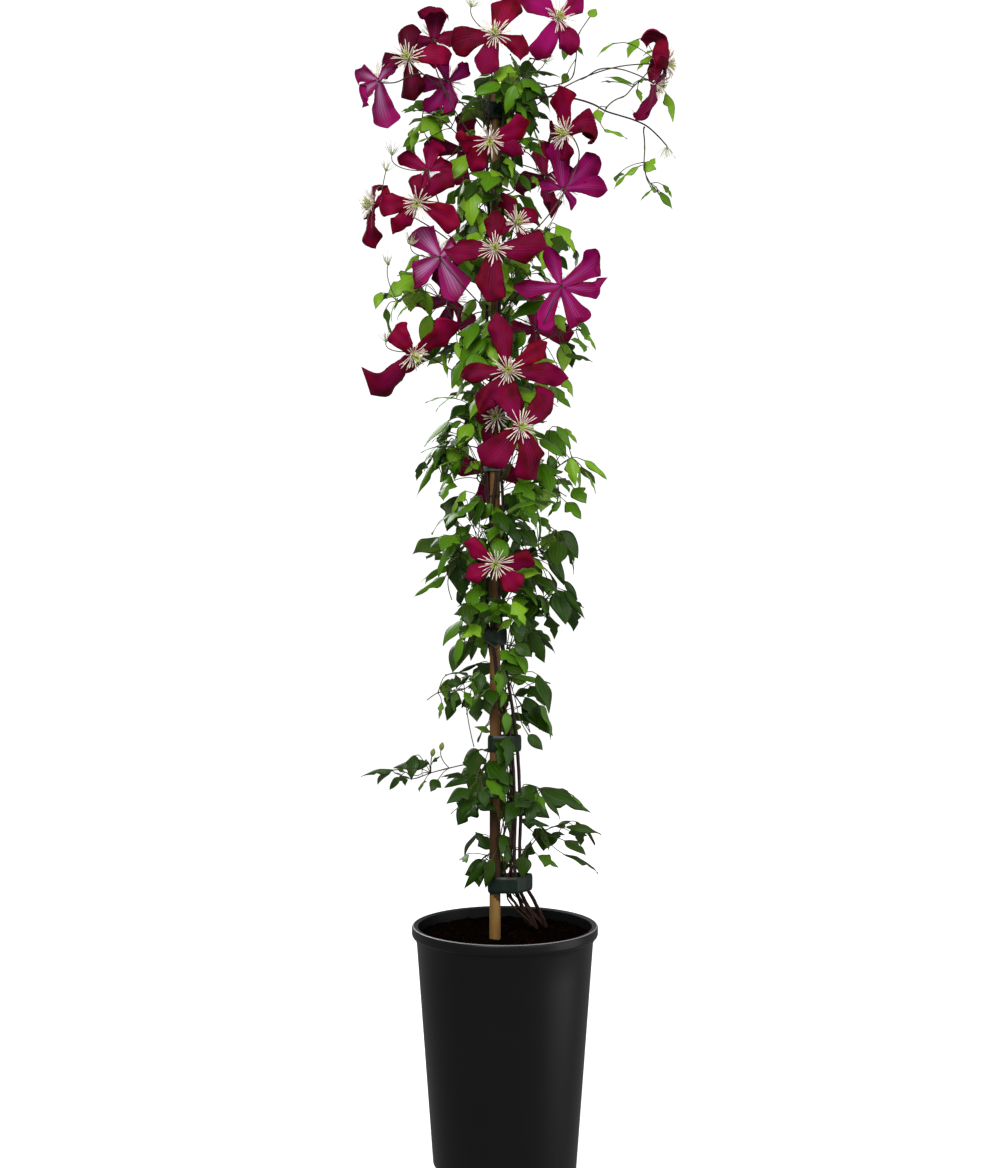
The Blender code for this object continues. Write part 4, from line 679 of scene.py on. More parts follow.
def vine_roots(routes, level, towards):
    """Places on the vine stems where a twig can leave, best first, with the way out from each."""
    for shift in (0, -7, 7, -14, 14, -21, 21, -28, 28, -36, 36):
        height = level + shift
        if min(abs(height - tie) for tie in TIE_LEVELS) < TIE_HEIGHT / 2 + 2.5:
            continue
        centres = [np.array([*place_at(route, height), height]) for route, _ in routes]
        sizes = [np.interp(height, route[:, 2], radii) for route, radii in routes]
        held = [] if height < 400 else [(CANE_X, CANE_Y)] * 3
        middle = np.mean([centre[:2] for centre in centres] + held, axis=0)
        for turn in (0, 35, -35, 70, -70, 110, -110, 150, -150):
            angle = math.atan2(towards[1] - middle[1], towards[0] - middle[0]) + math.radians(turn)
            way = np.array([math.cos(angle), math.sin(angle), 0.0])
            choice = max(range(3), key=lambda number: np.dot(centres[number][:2] - middle, way[:2]))
            if height > routes[choice][0][-1, 2] - 4:
                continue
            yield centres[choice] + way * (sizes[choice] + GAP + 0.05), way


def twig_path(root, way, places, count):
    """A twig's line: straight out of the bark for a moment, then smoothly through the places."""
    first = root + way * 1.6
    span = np.linalg.norm(places[0] - first)
    lead = [first + unit(way * 0.6 + unit(places[0] - first) * 0.4) * span * 0.4] if span > 9 else []
    return np.vstack([root, curve_through([first, *lead, *places], count)])


def gentle(path):
    """Whether a line turns less than 65 degrees at each of its places."""
    steps = np.diff(path, axis=0)
    steps /= np.linalg.norm(steps, axis=1)[:, None]
    return bool(((steps[1:] * steps[:-1]).sum(axis=1) > math.cos(math.radians(65))).all())

# %% [markdown]
# ## Growth
# The bough and the flowers come first, then their stalks, the shoots and at last the leaflets. Each is
# tried at several depths and left out where it finds no room. Particles could scatter leaves as well, but
# they don't know what they touch.

# %% Growth
def grow(routes, crowd):
    """Grows everything green or red on the vine stems, and returns each node's parts."""
    for shape in hardware_shapes(routes):
        crowd.add(shape, "hardware", "bar")
    nodes = {}
    rng = np.random.default_rng(GROWTH_SEED)

    arch_line = [seen(place[:2], place[2]) for place in ARCH_PLACES]
    for root, way in vine_roots(routes, ARCH_FOOT_LEVEL, arch_line[1]):
        path = twig_path(root, way, arch_line, 15)
        radii = np.linspace(*ARCH_RADII, len(path))
        if crowd.clear(bar(path, radii, SPARE), "arch"):
            break
    arch = path, radii
    nodes["arch_bough"] = [("limb", *arch)]
    crowd.add(bar(*arch), "arch_bough", "bar")

    depths = {}
    for name, (_, *flowers) in FLOWERS.items():
        nodes[name] = []
        for number, flower in enumerate(flowers):
            for shift in (0, -6, 6, -12, 12, -18, 18, -24, 24, 32, -32, 40, 48):
                depth = flower[1] + shift
                if all(crowd.clear(shape, name) for shape in flower_shapes(flower, depth, SPARE)):
                    break
            else:
                continue
            depths[name, number] = depth
            for shape in flower_shapes(flower, depth):
                crowd.add(shape, name, "blade")
            nodes[name].append(("flower", flower, depth))

    for (name, number), depth in depths.items():
        flower = FLOWERS[name][number + 1]
        facing = facing_of(*flower[2])
        back = seen(flower[0], depth) - facing * 4.0
        stalk = find_stalk(crowd, routes, name, number, nodes[name], back, facing)
        if stalk is None:
            nodes[name] = [part for part in nodes[name] if part[1] is not flower]
            continue
        nodes[name].append(("twig", *stalk))
        crowd.add(bar(*stalk), name, "bar")

    for index, (name, (start, places, _)) in enumerate(ALL_SHOOTS.items()):
        if name in SHOOTS:
            sway = SHOOT_SWAY * (-1) ** index / len(places)
            places = [(across, down, depth + sway * number)
                      for number, (across, down, depth) in enumerate(places, start=1)]
        first = seen(places[0][:2], places[0][2])
        roots = vine_roots(routes, start, first) if name in SHOOTS else arch_roots(*arch, start, first)
        nodes[name] = [("twig", *find_shoot(crowd, roots, name, places))]
    for name, (_, _, leaves) in ALL_SHOOTS.items():
        for leaf in leaves:
            add_leaf(crowd, nodes[name], name, leaf, rng)
    for name, (_, _, leaves) in SHOOTS.items():
        add_extras(crowd, nodes, name, round(len(leaves) * EXTRA_SHARE), EXTRA_TRIES, EXTRA_LENGTHS, rng)
    return nodes


def parts_of(nodes, kind):
    """Every part of one kind, each with its node's name first."""
    return [(name, *part[1:]) for name, parts in nodes.items() for part in parts if part[0] == kind]

# %% Stalks and stems of the growth
def find_stalk(crowd, routes, name, number, parts, back, facing):
    """A flower's stalk, from the vine or from its twin's stalk, that touches nothing else."""
    if number:
        twin = next((part for part in parts if part[0] == "twig"), None)
        if twin is None:
            return None
        starts = []
        for index in (len(twin[1]) // 2, len(twin[1]) // 2 - 1, len(twin[1]) // 2 + 1, 2):
            ahead = unit(twin[1][index + 1] - twin[1][index])
            starts.append((twin[1][index], unit(ahead * 0.7 + unit(back - twin[1][index]))))
    else:
        starts = vine_roots(routes, FLOWERS[name][0], back)
    for root, way in starts:
        span = np.linalg.norm(back - root)
        for lift in (0.25, 0.05, 0.45, -0.15):
            leave = root + way * (1.6 + 0.3 * span) + np.array([0, 0, lift * span])
            arrive = back - facing * 0.35 * span
            curve = bezier(root + way * 1.6, leave, arrive, back, 5)
            path = np.vstack([root, curve, back + facing * 3.0])
            radii = np.linspace(STALK_RADIUS * 1.15, STALK_RADIUS, len(path))
            if gentle(path) and crowd.clear(bar(path[:-1], radii[:-1], SPARE), name):
                return path, radii
    return None


def turned_round(axis, first, turn):
    """A unit vector turned round the axis, from one that is square to it."""
    return first * math.cos(turn) + np.cross(axis, first) * math.sin(turn)


def arch_roots(path, radii, share, towards):
    """Places on the arching bough where a sprig can leave."""
    for shift in (0, -0.04, 0.04, -0.08, 0.08):
        spot = (share + shift) * (len(path) - 1)
        index = int(spot)
        centre = path[index] + (path[index + 1] - path[index]) * (spot - index)
        ahead = unit(path[index + 1] - path[index])
        size = radii[index]
        aim = square_to(towards - centre, ahead)
        for turn in (0, 40, -40, 80, -80):
            way = turned_round(ahead, aim, math.radians(turn))
            yield centre + way * (size + GAP + 0.1), way


def find_shoot(crowd, roots, name, places):
    """A leafy shoot's stem through its places, moved in depth until it touches nothing."""
    for root, way in roots:
        for shift in (0, 6, -6, 12, -12, 18):
            line = [seen(place[:2], place[2] + shift) for place in places]
            path = twig_path(root, way, line, 7)
            radii = np.linspace(*SHOOT_RADII, len(path))
            if gentle(path) and crowd.clear(bar(path, radii, SPARE), name):
                crowd.add(bar(path, radii), name, "bar")
                return path, radii
    return None

# %% Leaflets of the growth
def add_leaf(crowd, parts, name, row, rng):
    """Adds one leaflet seen in the picture, at the first depth on its side where it touches nothing."""
    # A row that names no side takes 0.
    across, down, tip_across, tip_down, width, side = (*row, 0)[:6]
    spread = rng.permutation([-30, -20, -12, -4, 4, 12, 20, 30])
    tries = {1: (-34, -40, -30, -46, -26, -52, -60), 0: spread, -1: (24, 16, 32, 38, 44, 8)}[side]
    for depth in tries:
        lean = rng.uniform(-0.35, 0.35)
        jitter = rng.uniform(-0.35, 0.35)
        base = seen((across, down), depth)
        flat_tip = seen((tip_across, tip_down), depth)
        tip = seen((tip_across, tip_down), depth + lean * np.linalg.norm(flat_tip - base))
        facing = np.array([jitter, -0.75 if side >= 0 else 0.75, 0.6])
        if place_leaf(crowd, parts, name, parts[0][1], (base, tip, facing, width)):
            return


def spoils_the_view(parts_of_flowers, leaf):
    """Whether a leaflet stands in front of a flower, or of a tie that shows, as the picture sees it."""
    for point in (leaf[0], (leaf[0] + leaf[1]) / 2, leaf[1]):
        place = place_of(point)
        for _, flower, depth in parts_of_flowers:
            if point[1] < depth + 6 and np.linalg.norm(place - flower[0]) < FLOWER_SHOWS:
                return True
        for tie in TIES_IN_VIEW:
            if point[1] < CANE_Y and np.linalg.norm(place - tie) < TIE_SHOWS:
                return True
    return False


def add_extras(crowd, nodes, name, wanted, tries, lengths, rng):
    """Adds leaflets anywhere round a shoot's stem, within the shoot's own space in the picture.

    Each one that is wanted has so many tries. It returns how many found room.
    """
    added, flowers, stem = 0, parts_of(nodes, "flower"), nodes[name][0][1]
    rows = np.array([row[:4] for row in ALL_SHOOTS[name][2]], float)
    low = np.minimum(rows[:, :2], rows[:, 2:]).min(axis=0) - 3
    high = np.maximum(rows[:, :2], rows[:, 2:]).max(axis=0) + 3
    for _ in range(wanted * tries):
        if added == wanted:
            break
        spot = stem[int(rng.uniform(0.1, 1.0) * (len(stem) - 1))]
        leaf = hanging_leaf(spot, EXTRA_REACH, lengths, rng)
        ends = np.array([place_of(point) for point in leaf[:2]])
        if (ends >= low).all() and (ends <= high).all() and not spoils_the_view(flowers, leaf):
            added += place_leaf(crowd, nodes[name], name, stem, leaf)
    return added


def hanging_leaf(spot, reach, lengths, rng):
    """A leaflet held out from a spot in any direction, which hangs and faces outwards and up."""
    turn = rng.uniform(-math.pi, math.pi)
    way = unit((math.sin(turn), math.cos(turn), rng.uniform(-0.5, 0.8)))
    base = spot + way * rng.uniform(0.35, 1.0) * reach
    fall = way * rng.uniform(0.2, 0.9)
    fall = fall + np.array([rng.uniform(-0.5, 0.5), rng.uniform(-0.3, 0.3), rng.uniform(-1.3, -0.1)])
    tip = base + unit(fall) * rng.uniform(*lengths)
    facing = way * rng.uniform(0.5, 1.0)
    facing = facing + np.array([rng.uniform(-0.4, 0.4), 0.0, rng.uniform(0.2, 0.9)])
    return base, tip, facing, rng.uniform(0.55, 0.9)


def place_leaf(crowd, parts, name, stem, leaf):
    """Adds a leaflet and its petiole if both keep clear, and says whether it did."""
    base, tip, *_ = leaf
    if not crowd.clear(leaf_shape(leaf, SPARE), name, ("bar",)):
        return False
    ahead = unit(tip - base)
    gaps = np.linalg.norm(stem[1:] - (base - ahead * 6), axis=1)
    index = 1 + int(np.argmin(gaps))
    start = stem[index]
    span = np.linalg.norm(base - start)
    end = base + ahead * 3.5
    leave = start + unit(base - start + np.array([0, 0, 0.25 * span])) * 0.35 * span
    count = 4 if span > 24 else 3
    path = bezier(start, leave, base - ahead * 0.3 * span, end, count)
    radii = np.full(len(path), PETIOLE_RADIUS)
    if not crowd.clear(bar(path, radii, SPARE), name):
        return False
    crowd.add(leaf_shape(leaf), name, "blade")
    crowd.add(bar(path, radii), name, "bar")
    parts.append(("leaf", path, leaf))
    return True

# %% The growth itself
ROUTES = [stem_route(number) for number in range(3)]
CROWD = Crowd()
NODES = grow(ROUTES, CROWD)
print("grown:", len(NODES), "masses and boughs")

# %% [markdown]
# ## Fine growth
# The solids carry the larger leaflets only. Here the same rule goes on to the small ones, each on its own
# stalk, within the reach of the shoot that bears it. Others sprout from the stems themselves, all round
# the cane, so that the middle of the crown is full from every side.

# %% Fine growth
FINE_SEED = 64
FINE_TRIES = 8
FINE_LENGTHS = (12.0, 25.0)
# A shoot that ends at the first level or lower takes the first count, at the second or higher the second.
FINE_LEVELS, FINE_COUNTS = (330.0, 560.0), (6, 18)
SPRIG_LEAVES = 2
SPRIG_LENGTHS = (8.0, 14.0)
# How many leaflets sprout from the stems, between which levels, their rise and their reach
STEM_LEAVES = ((265, 425.0, 878.0, 0.62, 40.0), (26, 228.0, 425.0, 1.0, 21.0))
COLUMN_LENGTHS = (15.0, 30.0)


def grow_on_shoots(rng):
    """Adds small leaflets to every shoot, more of them high up, and returns how many found room."""
    added = 0
    for name in ALL_SHOOTS:
        wanted, lengths = SPRIG_LEAVES, SPRIG_LENGTHS
        if name in SHOOTS:
            wanted = round(np.interp(NODES[name][0][1][-1, 2], FINE_LEVELS, FINE_COUNTS))
            lengths = FINE_LENGTHS
        added += add_extras(CROWD, NODES, name, wanted, FINE_TRIES, lengths, rng)
    return added


def grow_on_stems(rng, wanted, low, high, rise, reach):
    """Adds leaflets that sprout from the vine's stems round the cane, and returns how many found room.

    A height is drawn as a share of the range to the power of rise: under 1, more of them are high up.
    """
    added, flowers = 0, parts_of(NODES, "flower")
    ends = {name: NODES[name][0][1][0] for name in SHOOTS}
    for _ in range(wanted * FINE_TRIES):
        if added == wanted:
            break
        level = low + (high - low) * rng.random() ** rise
        leaf = hanging_leaf(np.array([CANE_X, CANE_Y, level]), reach, COLUMN_LENGTHS, rng)
        root, way = next(vine_roots(ROUTES, level - 12, leaf[0]), (None, None))
        if root is None or spoils_the_view(flowers, leaf):
            continue
        near = min(ends, key=lambda name: abs(ends[name][2] - level))
        stem = np.array([root - way, root, root + way * 2])
        added += place_leaf(CROWD, NODES[near], near, stem, leaf)
    return added


fine_rng = np.random.default_rng(FINE_SEED)
print("small leaflets on shoots:", grow_on_shoots(fine_rng))
for row in STEM_LEAVES:
    print("small leaflets on stems:", grow_on_stems(fine_rng, *row), "up to level", row[2])

# %% [markdown]
# ## Meshes and materials
# Every piece is made as one array of points and arrays of faces of equal size. Closed sheets and bars
# are laid out as grids, so one function can number the faces of all of them at once. An object for each
# leaflet would be slow to draw. Materials are built from a few nodes, with patterns in real millimetres.

# %% Mesh helpers
def linear(code):
    """A colour code such as 8A0030 as the linear numbers a shader takes (the usual 2.4 power curve)."""
    parts = np.array([int(code[start:start + 2], 16) for start in (0, 2, 4)]) / 255
    return tuple(np.where(parts <= 0.04045, parts / 12.92, ((parts + 0.055) / 1.055) ** 2.4))


def put_in_scene(name, data):
    """A new object in the scene's collection."""
    made = bpy.data.objects.new(name, data)
    bpy.context.scene.collection.objects.link(made)
    return made


def mesh_piece(name, points, face_sets, looks, face_looks=None, uv=None, smooth=True):
    """One object from points in millimetres and face arrays, each row a face.

    face_looks holds one array of material numbers per face set, uv one pair per point.
    """
    mesh = bpy.data.meshes.new(name)
    sizes = np.concatenate([np.full(len(faces), faces.shape[1]) for faces in face_sets])
    corners = np.concatenate([faces.reshape(-1) for faces in face_sets]).astype(np.int32)
    starts = np.concatenate([[0], np.cumsum(sizes)[:-1]]).astype(np.int32)
    mesh.vertices.add(len(points))
    mesh.vertices.foreach_set("co", (np.asarray(points, np.float32) * METRE).reshape(-1))
    mesh.loops.add(len(corners))
    mesh.loops.foreach_set("vertex_index", corners)
    mesh.polygons.add(len(sizes))
    mesh.polygons.foreach_set("loop_start", starts)
    if face_looks is not None:
        mesh.polygons.foreach_set("material_index", np.concatenate(face_looks).astype(np.int32))
    mesh.polygons.foreach_set("use_smooth", np.full(len(sizes), smooth))
    mesh.update(calc_edges=True)
    if uv is not None:
        layer = mesh.uv_layers.new(name="leaf_place")
        layer.data.foreach_set("uv", np.asarray(uv, np.float32)[corners].reshape(-1))
    for look in looks:
        mesh.materials.append(look)
    print(f"{name}: {len(points)} points, {(sizes - 2).sum()} triangles")
    return put_in_scene(name, mesh)


def repeated(faces, count, step):
    """The same faces for count shapes whose points follow each other in steps."""
    return (faces[None] + np.arange(count)[:, None, None] * step).reshape(-1, faces.shape[1])


def shell_faces(rings, sides, count):
    """Faces of many closed shells, each of so many rings of points: first all walls, then all ends."""
    ends = np.stack([np.arange(sides)[::-1], (rings - 1) * sides + np.arange(sides)])
    return [repeated(faces, count, rings * sides) for faces in (grid_faces(rings, sides), ends)]

# %% Bars
def hump(value, middle, width):
    """A smooth rise to 1 at the middle, which fades out on both sides."""
    return np.exp(-((value - middle) / width) ** 2)


def bars(paths, radii, sides):
    """Many round bars at once: paths (n, rings, 3) and radii (n, rings) to points and face arrays.

    The ring's first axis is the fixed direction least along the bar, made square to the bar's line.
    """
    paths, radii = np.asarray(paths, float), np.asarray(radii, float)
    count, rings, _ = paths.shape
    ahead = np.gradient(paths, axis=1)
    ahead /= np.linalg.norm(ahead, axis=2, keepdims=True) + 1e-9
    chord = np.abs(ahead).mean(axis=1)
    fixed = np.eye(3)[chord.argmin(axis=1)][:, None, :]
    first = fixed - ahead * (ahead * fixed).sum(axis=2, keepdims=True)
    first /= np.linalg.norm(first, axis=2, keepdims=True) + 1e-9
    second = np.cross(ahead, first)
    turn = all_round(sides)
    ring = np.cos(turn)[:, None] * first[:, :, None, :] + np.sin(turn)[:, None] * second[:, :, None, :]
    points = paths[:, :, None, :] + radii[:, :, None, None] * ring
    return points.reshape(-1, 3), shell_faces(rings, sides, count)


def resampled(path, radii, rings):
    """A path and its radii at evenly spaced places, softened between its own places."""
    spans = lengths_along(path)
    return curve_through(path, rings), np.interp(np.linspace(0, spans[-1], rings), spans, radii)

# %% Materials
def new_look(name, colour, roughness, **settings):
    """A material with one shader; settings name its sockets with _ for a space."""
    made = bpy.data.materials.new(name)
    made.use_nodes = True
    shader = made.node_tree.nodes["Principled BSDF"]
    shader.inputs["Base Color"].default_value = (*linear(colour), 1)
    shader.inputs["Roughness"].default_value = roughness
    for socket, value in settings.items():
        shader.inputs[socket.replace("_", " ")].default_value = value
    return made


def add_node(look, kind, inputs=(), **settings):
    """Adds a node with its settings; an input is a number, a colour code or another node's output."""
    node = look.node_tree.nodes.new(kind)
    for key, value in settings.items():
        setattr(node, key, value)
    for socket, value in dict(inputs).items():
        if isinstance(value, bpy.types.NodeSocket):
            look.node_tree.links.new(value, node.inputs[socket])
        else:
            node.inputs[socket].default_value = (*linear(value), 1) if isinstance(value, str) else value
    return node


def run_between(ramp, ends, colours):
    """Sets where a ramp's run between its two colours starts and ends."""
    for element, position, colour in zip(ramp.color_ramp.elements, ends, colours):
        element.position = position
        element.color = (*linear(colour), 1)
    return ramp.outputs["Color"]


def finished(look, colour, height, bump, bump_mm):
    """Gives the shader its colour and its fine relief."""
    shader = look.node_tree.nodes["Principled BSDF"]
    look.node_tree.links.new(colour, shader.inputs["Base Color"])
    if bump:
        raised = add_node(look, "ShaderNodeBump",
                          {"Height": height, "Strength": bump, "Distance": bump_mm * METRE})
        look.node_tree.links.new(raised.outputs["Normal"], shader.inputs["Normal"])
    return look


# Where a mottled material's noise starts and ends its run between the two colours
MOTTLE_RAMP = (0.2, 0.8)
# A colour mix takes its two colours at these inputs and gives the result at this output.
MIX_FIRST, MIX_SECOND, MIX_RESULT = 6, 7, 2


def mottled(name, base, roughness, colour, other, patch_mm, shine=0.5, stretch=(1, 1, 1), bump=0.0,
            bump_mm=0.1):
    """A material mottled between two colours with noise whose patches are patch_mm wide."""
    look = new_look(name, base, roughness, Specular_IOR_Level=shine)
    place = add_node(look, "ShaderNodeTexCoord")
    spread = add_node(look, "ShaderNodeMapping", {"Vector": place.outputs["Object"], "Scale": stretch})
    noise = add_node(look, "ShaderNodeTexNoise", {"Vector": spread.outputs["Vector"],
                                                  "Scale": 1000 / patch_mm, "Detail": 4.0}).outputs["Fac"]
    ramp = add_node(look, "ShaderNodeValToRGB", {"Fac": noise})
    return finished(look, run_between(ramp, MOTTLE_RAMP, (colour, other)), noise, bump, bump_mm)


# %% [markdown]
# ## Pot
# A nursery pot is one thin injection-moulded shell: a straight taper, a step out under the lip and a lip
# rolled outwards so that it can be gripped. Its base corner is cut into slots that drain it. The shell
# is one outline turned round the upright axis, which keeps its wall even, and the slots are cut out of it
# as on the real mould. A Screw modifier could turn it too, with evenly spaced points only.

# %% Pot
def arc(centre, radius, start, end, count):
    """Points of an arc as (radius, height) pairs, from one angle to another in degrees."""
    turn = np.radians(np.linspace(start, end, count))
    return [(centre[0] + radius * math.cos(angle), centre[1] + radius * math.sin(angle)) for angle in turn]


# The painted highlight on the lip's crest, a pale band, lies between these distances in from the rim.
LIP_HIGHLIGHT_SPAN = (0.5, 1.5)
LIP_HIGHLIGHT_DEPTH = 1.1
POT_POINTS_ROUND = 144
FOOT_ROUNDING = 1.6


def drain_slot(number):
    """Corners of a block at the pot's base corner, one of a ring of equal ones.

    The third lies on the picture's left, where the top of one shows.
    """
    angle = math.radians(DRAIN_TURN) + number * 2 * math.pi / DRAIN_SLOTS
    outward = np.array([math.cos(angle), math.sin(angle), 0])
    across = np.array([-math.sin(angle), math.cos(angle), 0])
    return [outward * reach + across * side * DRAIN_WIDTH / 2 + (0, 0, height)
            for height in (-3.0, DRAIN_HEIGHT)
            for reach, sides in ((DRAIN_INNER, (-1, 1)), (DRAIN_OUTER, (1, -1))) for side in sides]


def build_pot():
    """The turned shell, less a ring of blocks, with a painted highlight on the crest of its lip in a second
    look.
    """
    lip = POT_HEIGHT - POT_LIP_HEIGHT
    inner_lip = wall_radius(lip) - POT_WALL
    foot = wall_radius(0)
    profile = [(0, 0.3), (foot - 5, 0.3), (foot - 4, 0)]
    profile += arc((foot - FOOT_ROUNDING, FOOT_ROUNDING), FOOT_ROUNDING, -80, 0, 4)
    for height in np.linspace(12, lip - 7, 9):
        profile.append((wall_radius(height), height))
    profile += arc((POT_TOP_RADIUS - 3.4, lip + 0.8), 3.4, -75, 0, 8)
    profile += arc((POT_TOP_RADIUS - 1.7, POT_HEIGHT - 1.7), 1.7, 0, 110, 8)
    profile += [(inner_lip + 0.6, POT_HEIGHT - 1.0), (inner_lip, lip - 1)]
    for height in np.linspace(lip - 20, POT_FLOOR + 2, 6):
        profile.append((wall_radius(height) - POT_WALL, height))
    profile += [(wall_radius(POT_FLOOR) - POT_WALL - 1.5, POT_FLOOR), (0, POT_FLOOR)]
    points, faces = lathe(profile, POT_POINTS_ROUND)
    mesh = bpy.data.meshes.new("pot_shell")
    mesh.from_pydata((points * METRE).tolist(), [], faces)
    pot = put_in_scene("pot_shell", mesh)
    slots = np.concatenate([drain_slot(number) for number in range(DRAIN_SLOTS)])
    cutter = mesh_piece("slot_cutter", slots, [repeated(BLOCK_FACES, DRAIN_SLOTS, 8)], [], smooth=False)
    for made in (pot, cutter):
        tidy = bmesh.new()
        tidy.from_mesh(made.data)
        bmesh.ops.recalc_face_normals(tidy, faces=tidy.faces)
        tidy.to_mesh(made.data)
        tidy.free()
    boolean = pot.modifiers.new("slots", "BOOLEAN")
    boolean.operation = "DIFFERENCE"
    boolean.solver = "EXACT"
    boolean.object = cutter
    graph = bpy.context.evaluated_depsgraph_get()
    done = bpy.data.meshes.new_from_object(pot.evaluated_get(graph))
    pot.modifiers.clear()
    pot.data = done
    bpy.data.objects.remove(cutter)
    done.materials.clear()
    # Moulded polypropylene: nearly black with a soft, broad sheen. A thin band on the lip's crest is coloured
    # pale grey as a painted highlight line.
    done.materials.append(mottled("black_nursery_plastic", "09090A", 0.36, "0B0B0C", "101011", 60,
                                  shine=0.27, bump=0.25, bump_mm=0.05))
    done.materials.append(new_look("painted_lip_highlight", "98989C", 0.4))
    # The faces of the painted highlight: a thin band just inside the rim, at the very top.
    middle = np.empty(len(done.polygons) * 3)
    done.polygons.foreach_get("center", middle)
    middle = middle.reshape(-1, 3) / METRE
    from_rim = POT_TOP_RADIUS - np.hypot(middle[:, 0], middle[:, 1])
    lip_highlight = (from_rim > LIP_HIGHLIGHT_SPAN[0]) & (from_rim < LIP_HIGHLIGHT_SPAN[1])
    lip_highlight &= middle[:, 2] > POT_HEIGHT - LIP_HIGHLIGHT_DEPTH
    done.polygons.foreach_set("material_index", lip_highlight.astype(np.int32))
    done.polygons.foreach_set("use_smooth", np.full(len(done.polygons), True))
    done.set_sharp_from_angle(angle=math.radians(40))
    print("pot_shell:", len(done.polygons), "faces")
    return pot


pot_piece = build_pot()
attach(pot_piece, "root")
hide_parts("pot")

# %% [markdown]
# ## Compost
# Dark moist compost fills the pot to just under the lip. Its top is rough: crumbs, bark chips and fibres.
# The top is a fine disc whose height is a sum of waves of different widths, and the chips are small
# flattened blocks lying on it at seeded places. Sculpting could do the same, but waves need no hand.

# %% Compost
CHIP_SEED = 5
CHIPS = 420
CHIP_REACH = 66
CHIP_TONES = ("0C0603", "140A05", "070302", "1E0C08")
CHIP_SHARES = (0.4, 0.3, 0.2, 0.1)
# Waves of the compost's top: direction, width and height
CRUMBS = ((0.3, 21.0, 0.45), (1.4, 13.0, 0.35), (2.5, 7.5, 0.3), (0.9, 4.6, 0.25), (1.9, 3.1, 0.15))


def roughness_of(x, y):
    """Height of the compost's crumbs: waves of several widths in turned directions, at most 1.5 mm."""
    height = np.zeros_like(x)
    for turned, width, size in CRUMBS:
        along = x * math.cos(turned) + y * math.sin(turned)
        across = y * math.cos(turned) - x * math.sin(turned)
        sway = 1.7 * np.sin(2 * math.pi * across / (width * 1.3))
        height += size * np.sin(2 * math.pi * along / width + sway)
    return height


def build_soil():
    """Rings of points on the rough top, closed below by a smaller flat ring."""
    rings, sides = 46, 120
    high_edge, low_edge = (wall_radius(height) - POT_WALL - GAP - 0.2
                           for height in (SOIL_LEVEL - 1, POT_FLOOR))
    top = turned_points(np.linspace(0.4, high_edge, rings)[:, None], SOIL_LEVEL - 1.6, sides)
    top[:, 2] += roughness_of(top[:, 0], top[:, 1])
    under = turned_points(low_edge, POT_FLOOR + GAP, sides)
    ends = [np.arange(sides)[None, :], (rings * sides + np.arange(sides))[None, ::-1]]
    # Moist peat: almost black, with no gloss. Its grain is drawn a little coarse so that it shows.
    look = mottled("compost", "060402", 0.95, "040201", "0F0905", 2.4, shine=0.0, bump=0.9, bump_mm=0.8)
    return mesh_piece("compost", np.concatenate([top, under]),
                      [grid_faces(rings + 1, sides), *ends], [look])


def build_chips():
    """Blocks of drawn size and turn, spread evenly over the disc and clear of cane and stems."""
    rng = np.random.default_rng(CHIP_SEED)
    distance = CHIP_REACH * np.sqrt(rng.random(CHIPS))
    turn = rng.random(CHIPS) * 2 * math.pi
    x, y = distance * np.cos(turn), distance * np.sin(turn)
    clear = np.hypot(x - CANE_X, y - CANE_Y) > 9
    for route in ROUTES:
        clear &= np.hypot(x - route[0][0, 0], y - route[0][0, 1]) > 7
    x, y = x[clear], y[clear]
    count = len(x)
    size = rng.uniform(0.8, 2.8, count)
    half = np.stack([size, size * rng.uniform(0.2, 0.6, count), size * rng.uniform(0.12, 0.3, count)], -1)
    spin = (rng.random(count) * 2 * math.pi)[:, None]
    corners = BLOCK_CORNERS[None] * half[:, None] * rng.uniform(0.75, 1.1, (count, 8, 1))
    along, across, up = np.moveaxis(corners, -1, 0)
    turned = np.stack([along * np.cos(spin) - across * np.sin(spin),
                       along * np.sin(spin) + across * np.cos(spin),
                       up + along * rng.uniform(-0.25, 0.25, (count, 1))], -1)
    place = np.stack([x, y, SOIL_LEVEL - 1.3 + roughness_of(x, y)], -1)
    # Composted bark: matt browns, a little lighter and redder than the peat round them
    looks = [new_look(f"bark_chip_{code}", code, 0.95, Specular_IOR_Level=0.0) for code in CHIP_TONES]
    tone = np.repeat(rng.choice(4, count, p=CHIP_SHARES), 6)
    return mesh_piece("compost_chips", (turned + place[:, None]).reshape(-1, 3),
                      [repeated(BLOCK_FACES, count, 8)], looks, [tone], smooth=False)


for piece in (build_soil(), build_chips()):
    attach(piece, "root")
    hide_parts("soil")

# %% [markdown]
# ## Cane
# A bamboo cane is a round tube that swells a little at each joint, where a dark ring is left by the leaf
# sheath. Its foot is straw-coloured. A hand's width above the foot is coloured dark brown as painted shade
# under the low leaves, and higher up the cane is weathered orange-brown. The joints are in the mesh, because
# they show at its edge, and the grain in its look.

# %% Cane
# Straw-coloured up to the first height; from there to the second the cane is coloured dark as painted shade
# under the low leaves.
STRAW_FOOT_TOP, SHADE_BAND_TOP = 222.0, 288.0
BAMBOO_GRAIN = (1, 1, 0.12)
# Weathered bamboo has brown streaks along its grain and a dull waxy gloss, and its joints are dark and matt.
# Name, base colour, roughness, the two colours of the mottle, the width of its patches and the shine
BAMBOO_LOOKS = (("bamboo", "66441F", 0.5, "3C2412", "946A36", 9, 0.25),
                ("bamboo_foot", "80602F", 0.5, "5A3E1E", "9A763E", 7, 0.25),
                # The third look is painted shade: the dark band under the low leaves.
                ("bamboo_painted_shade", "2A1A10", 0.6, "1A100A", "5A3C20", 9, 0.2))


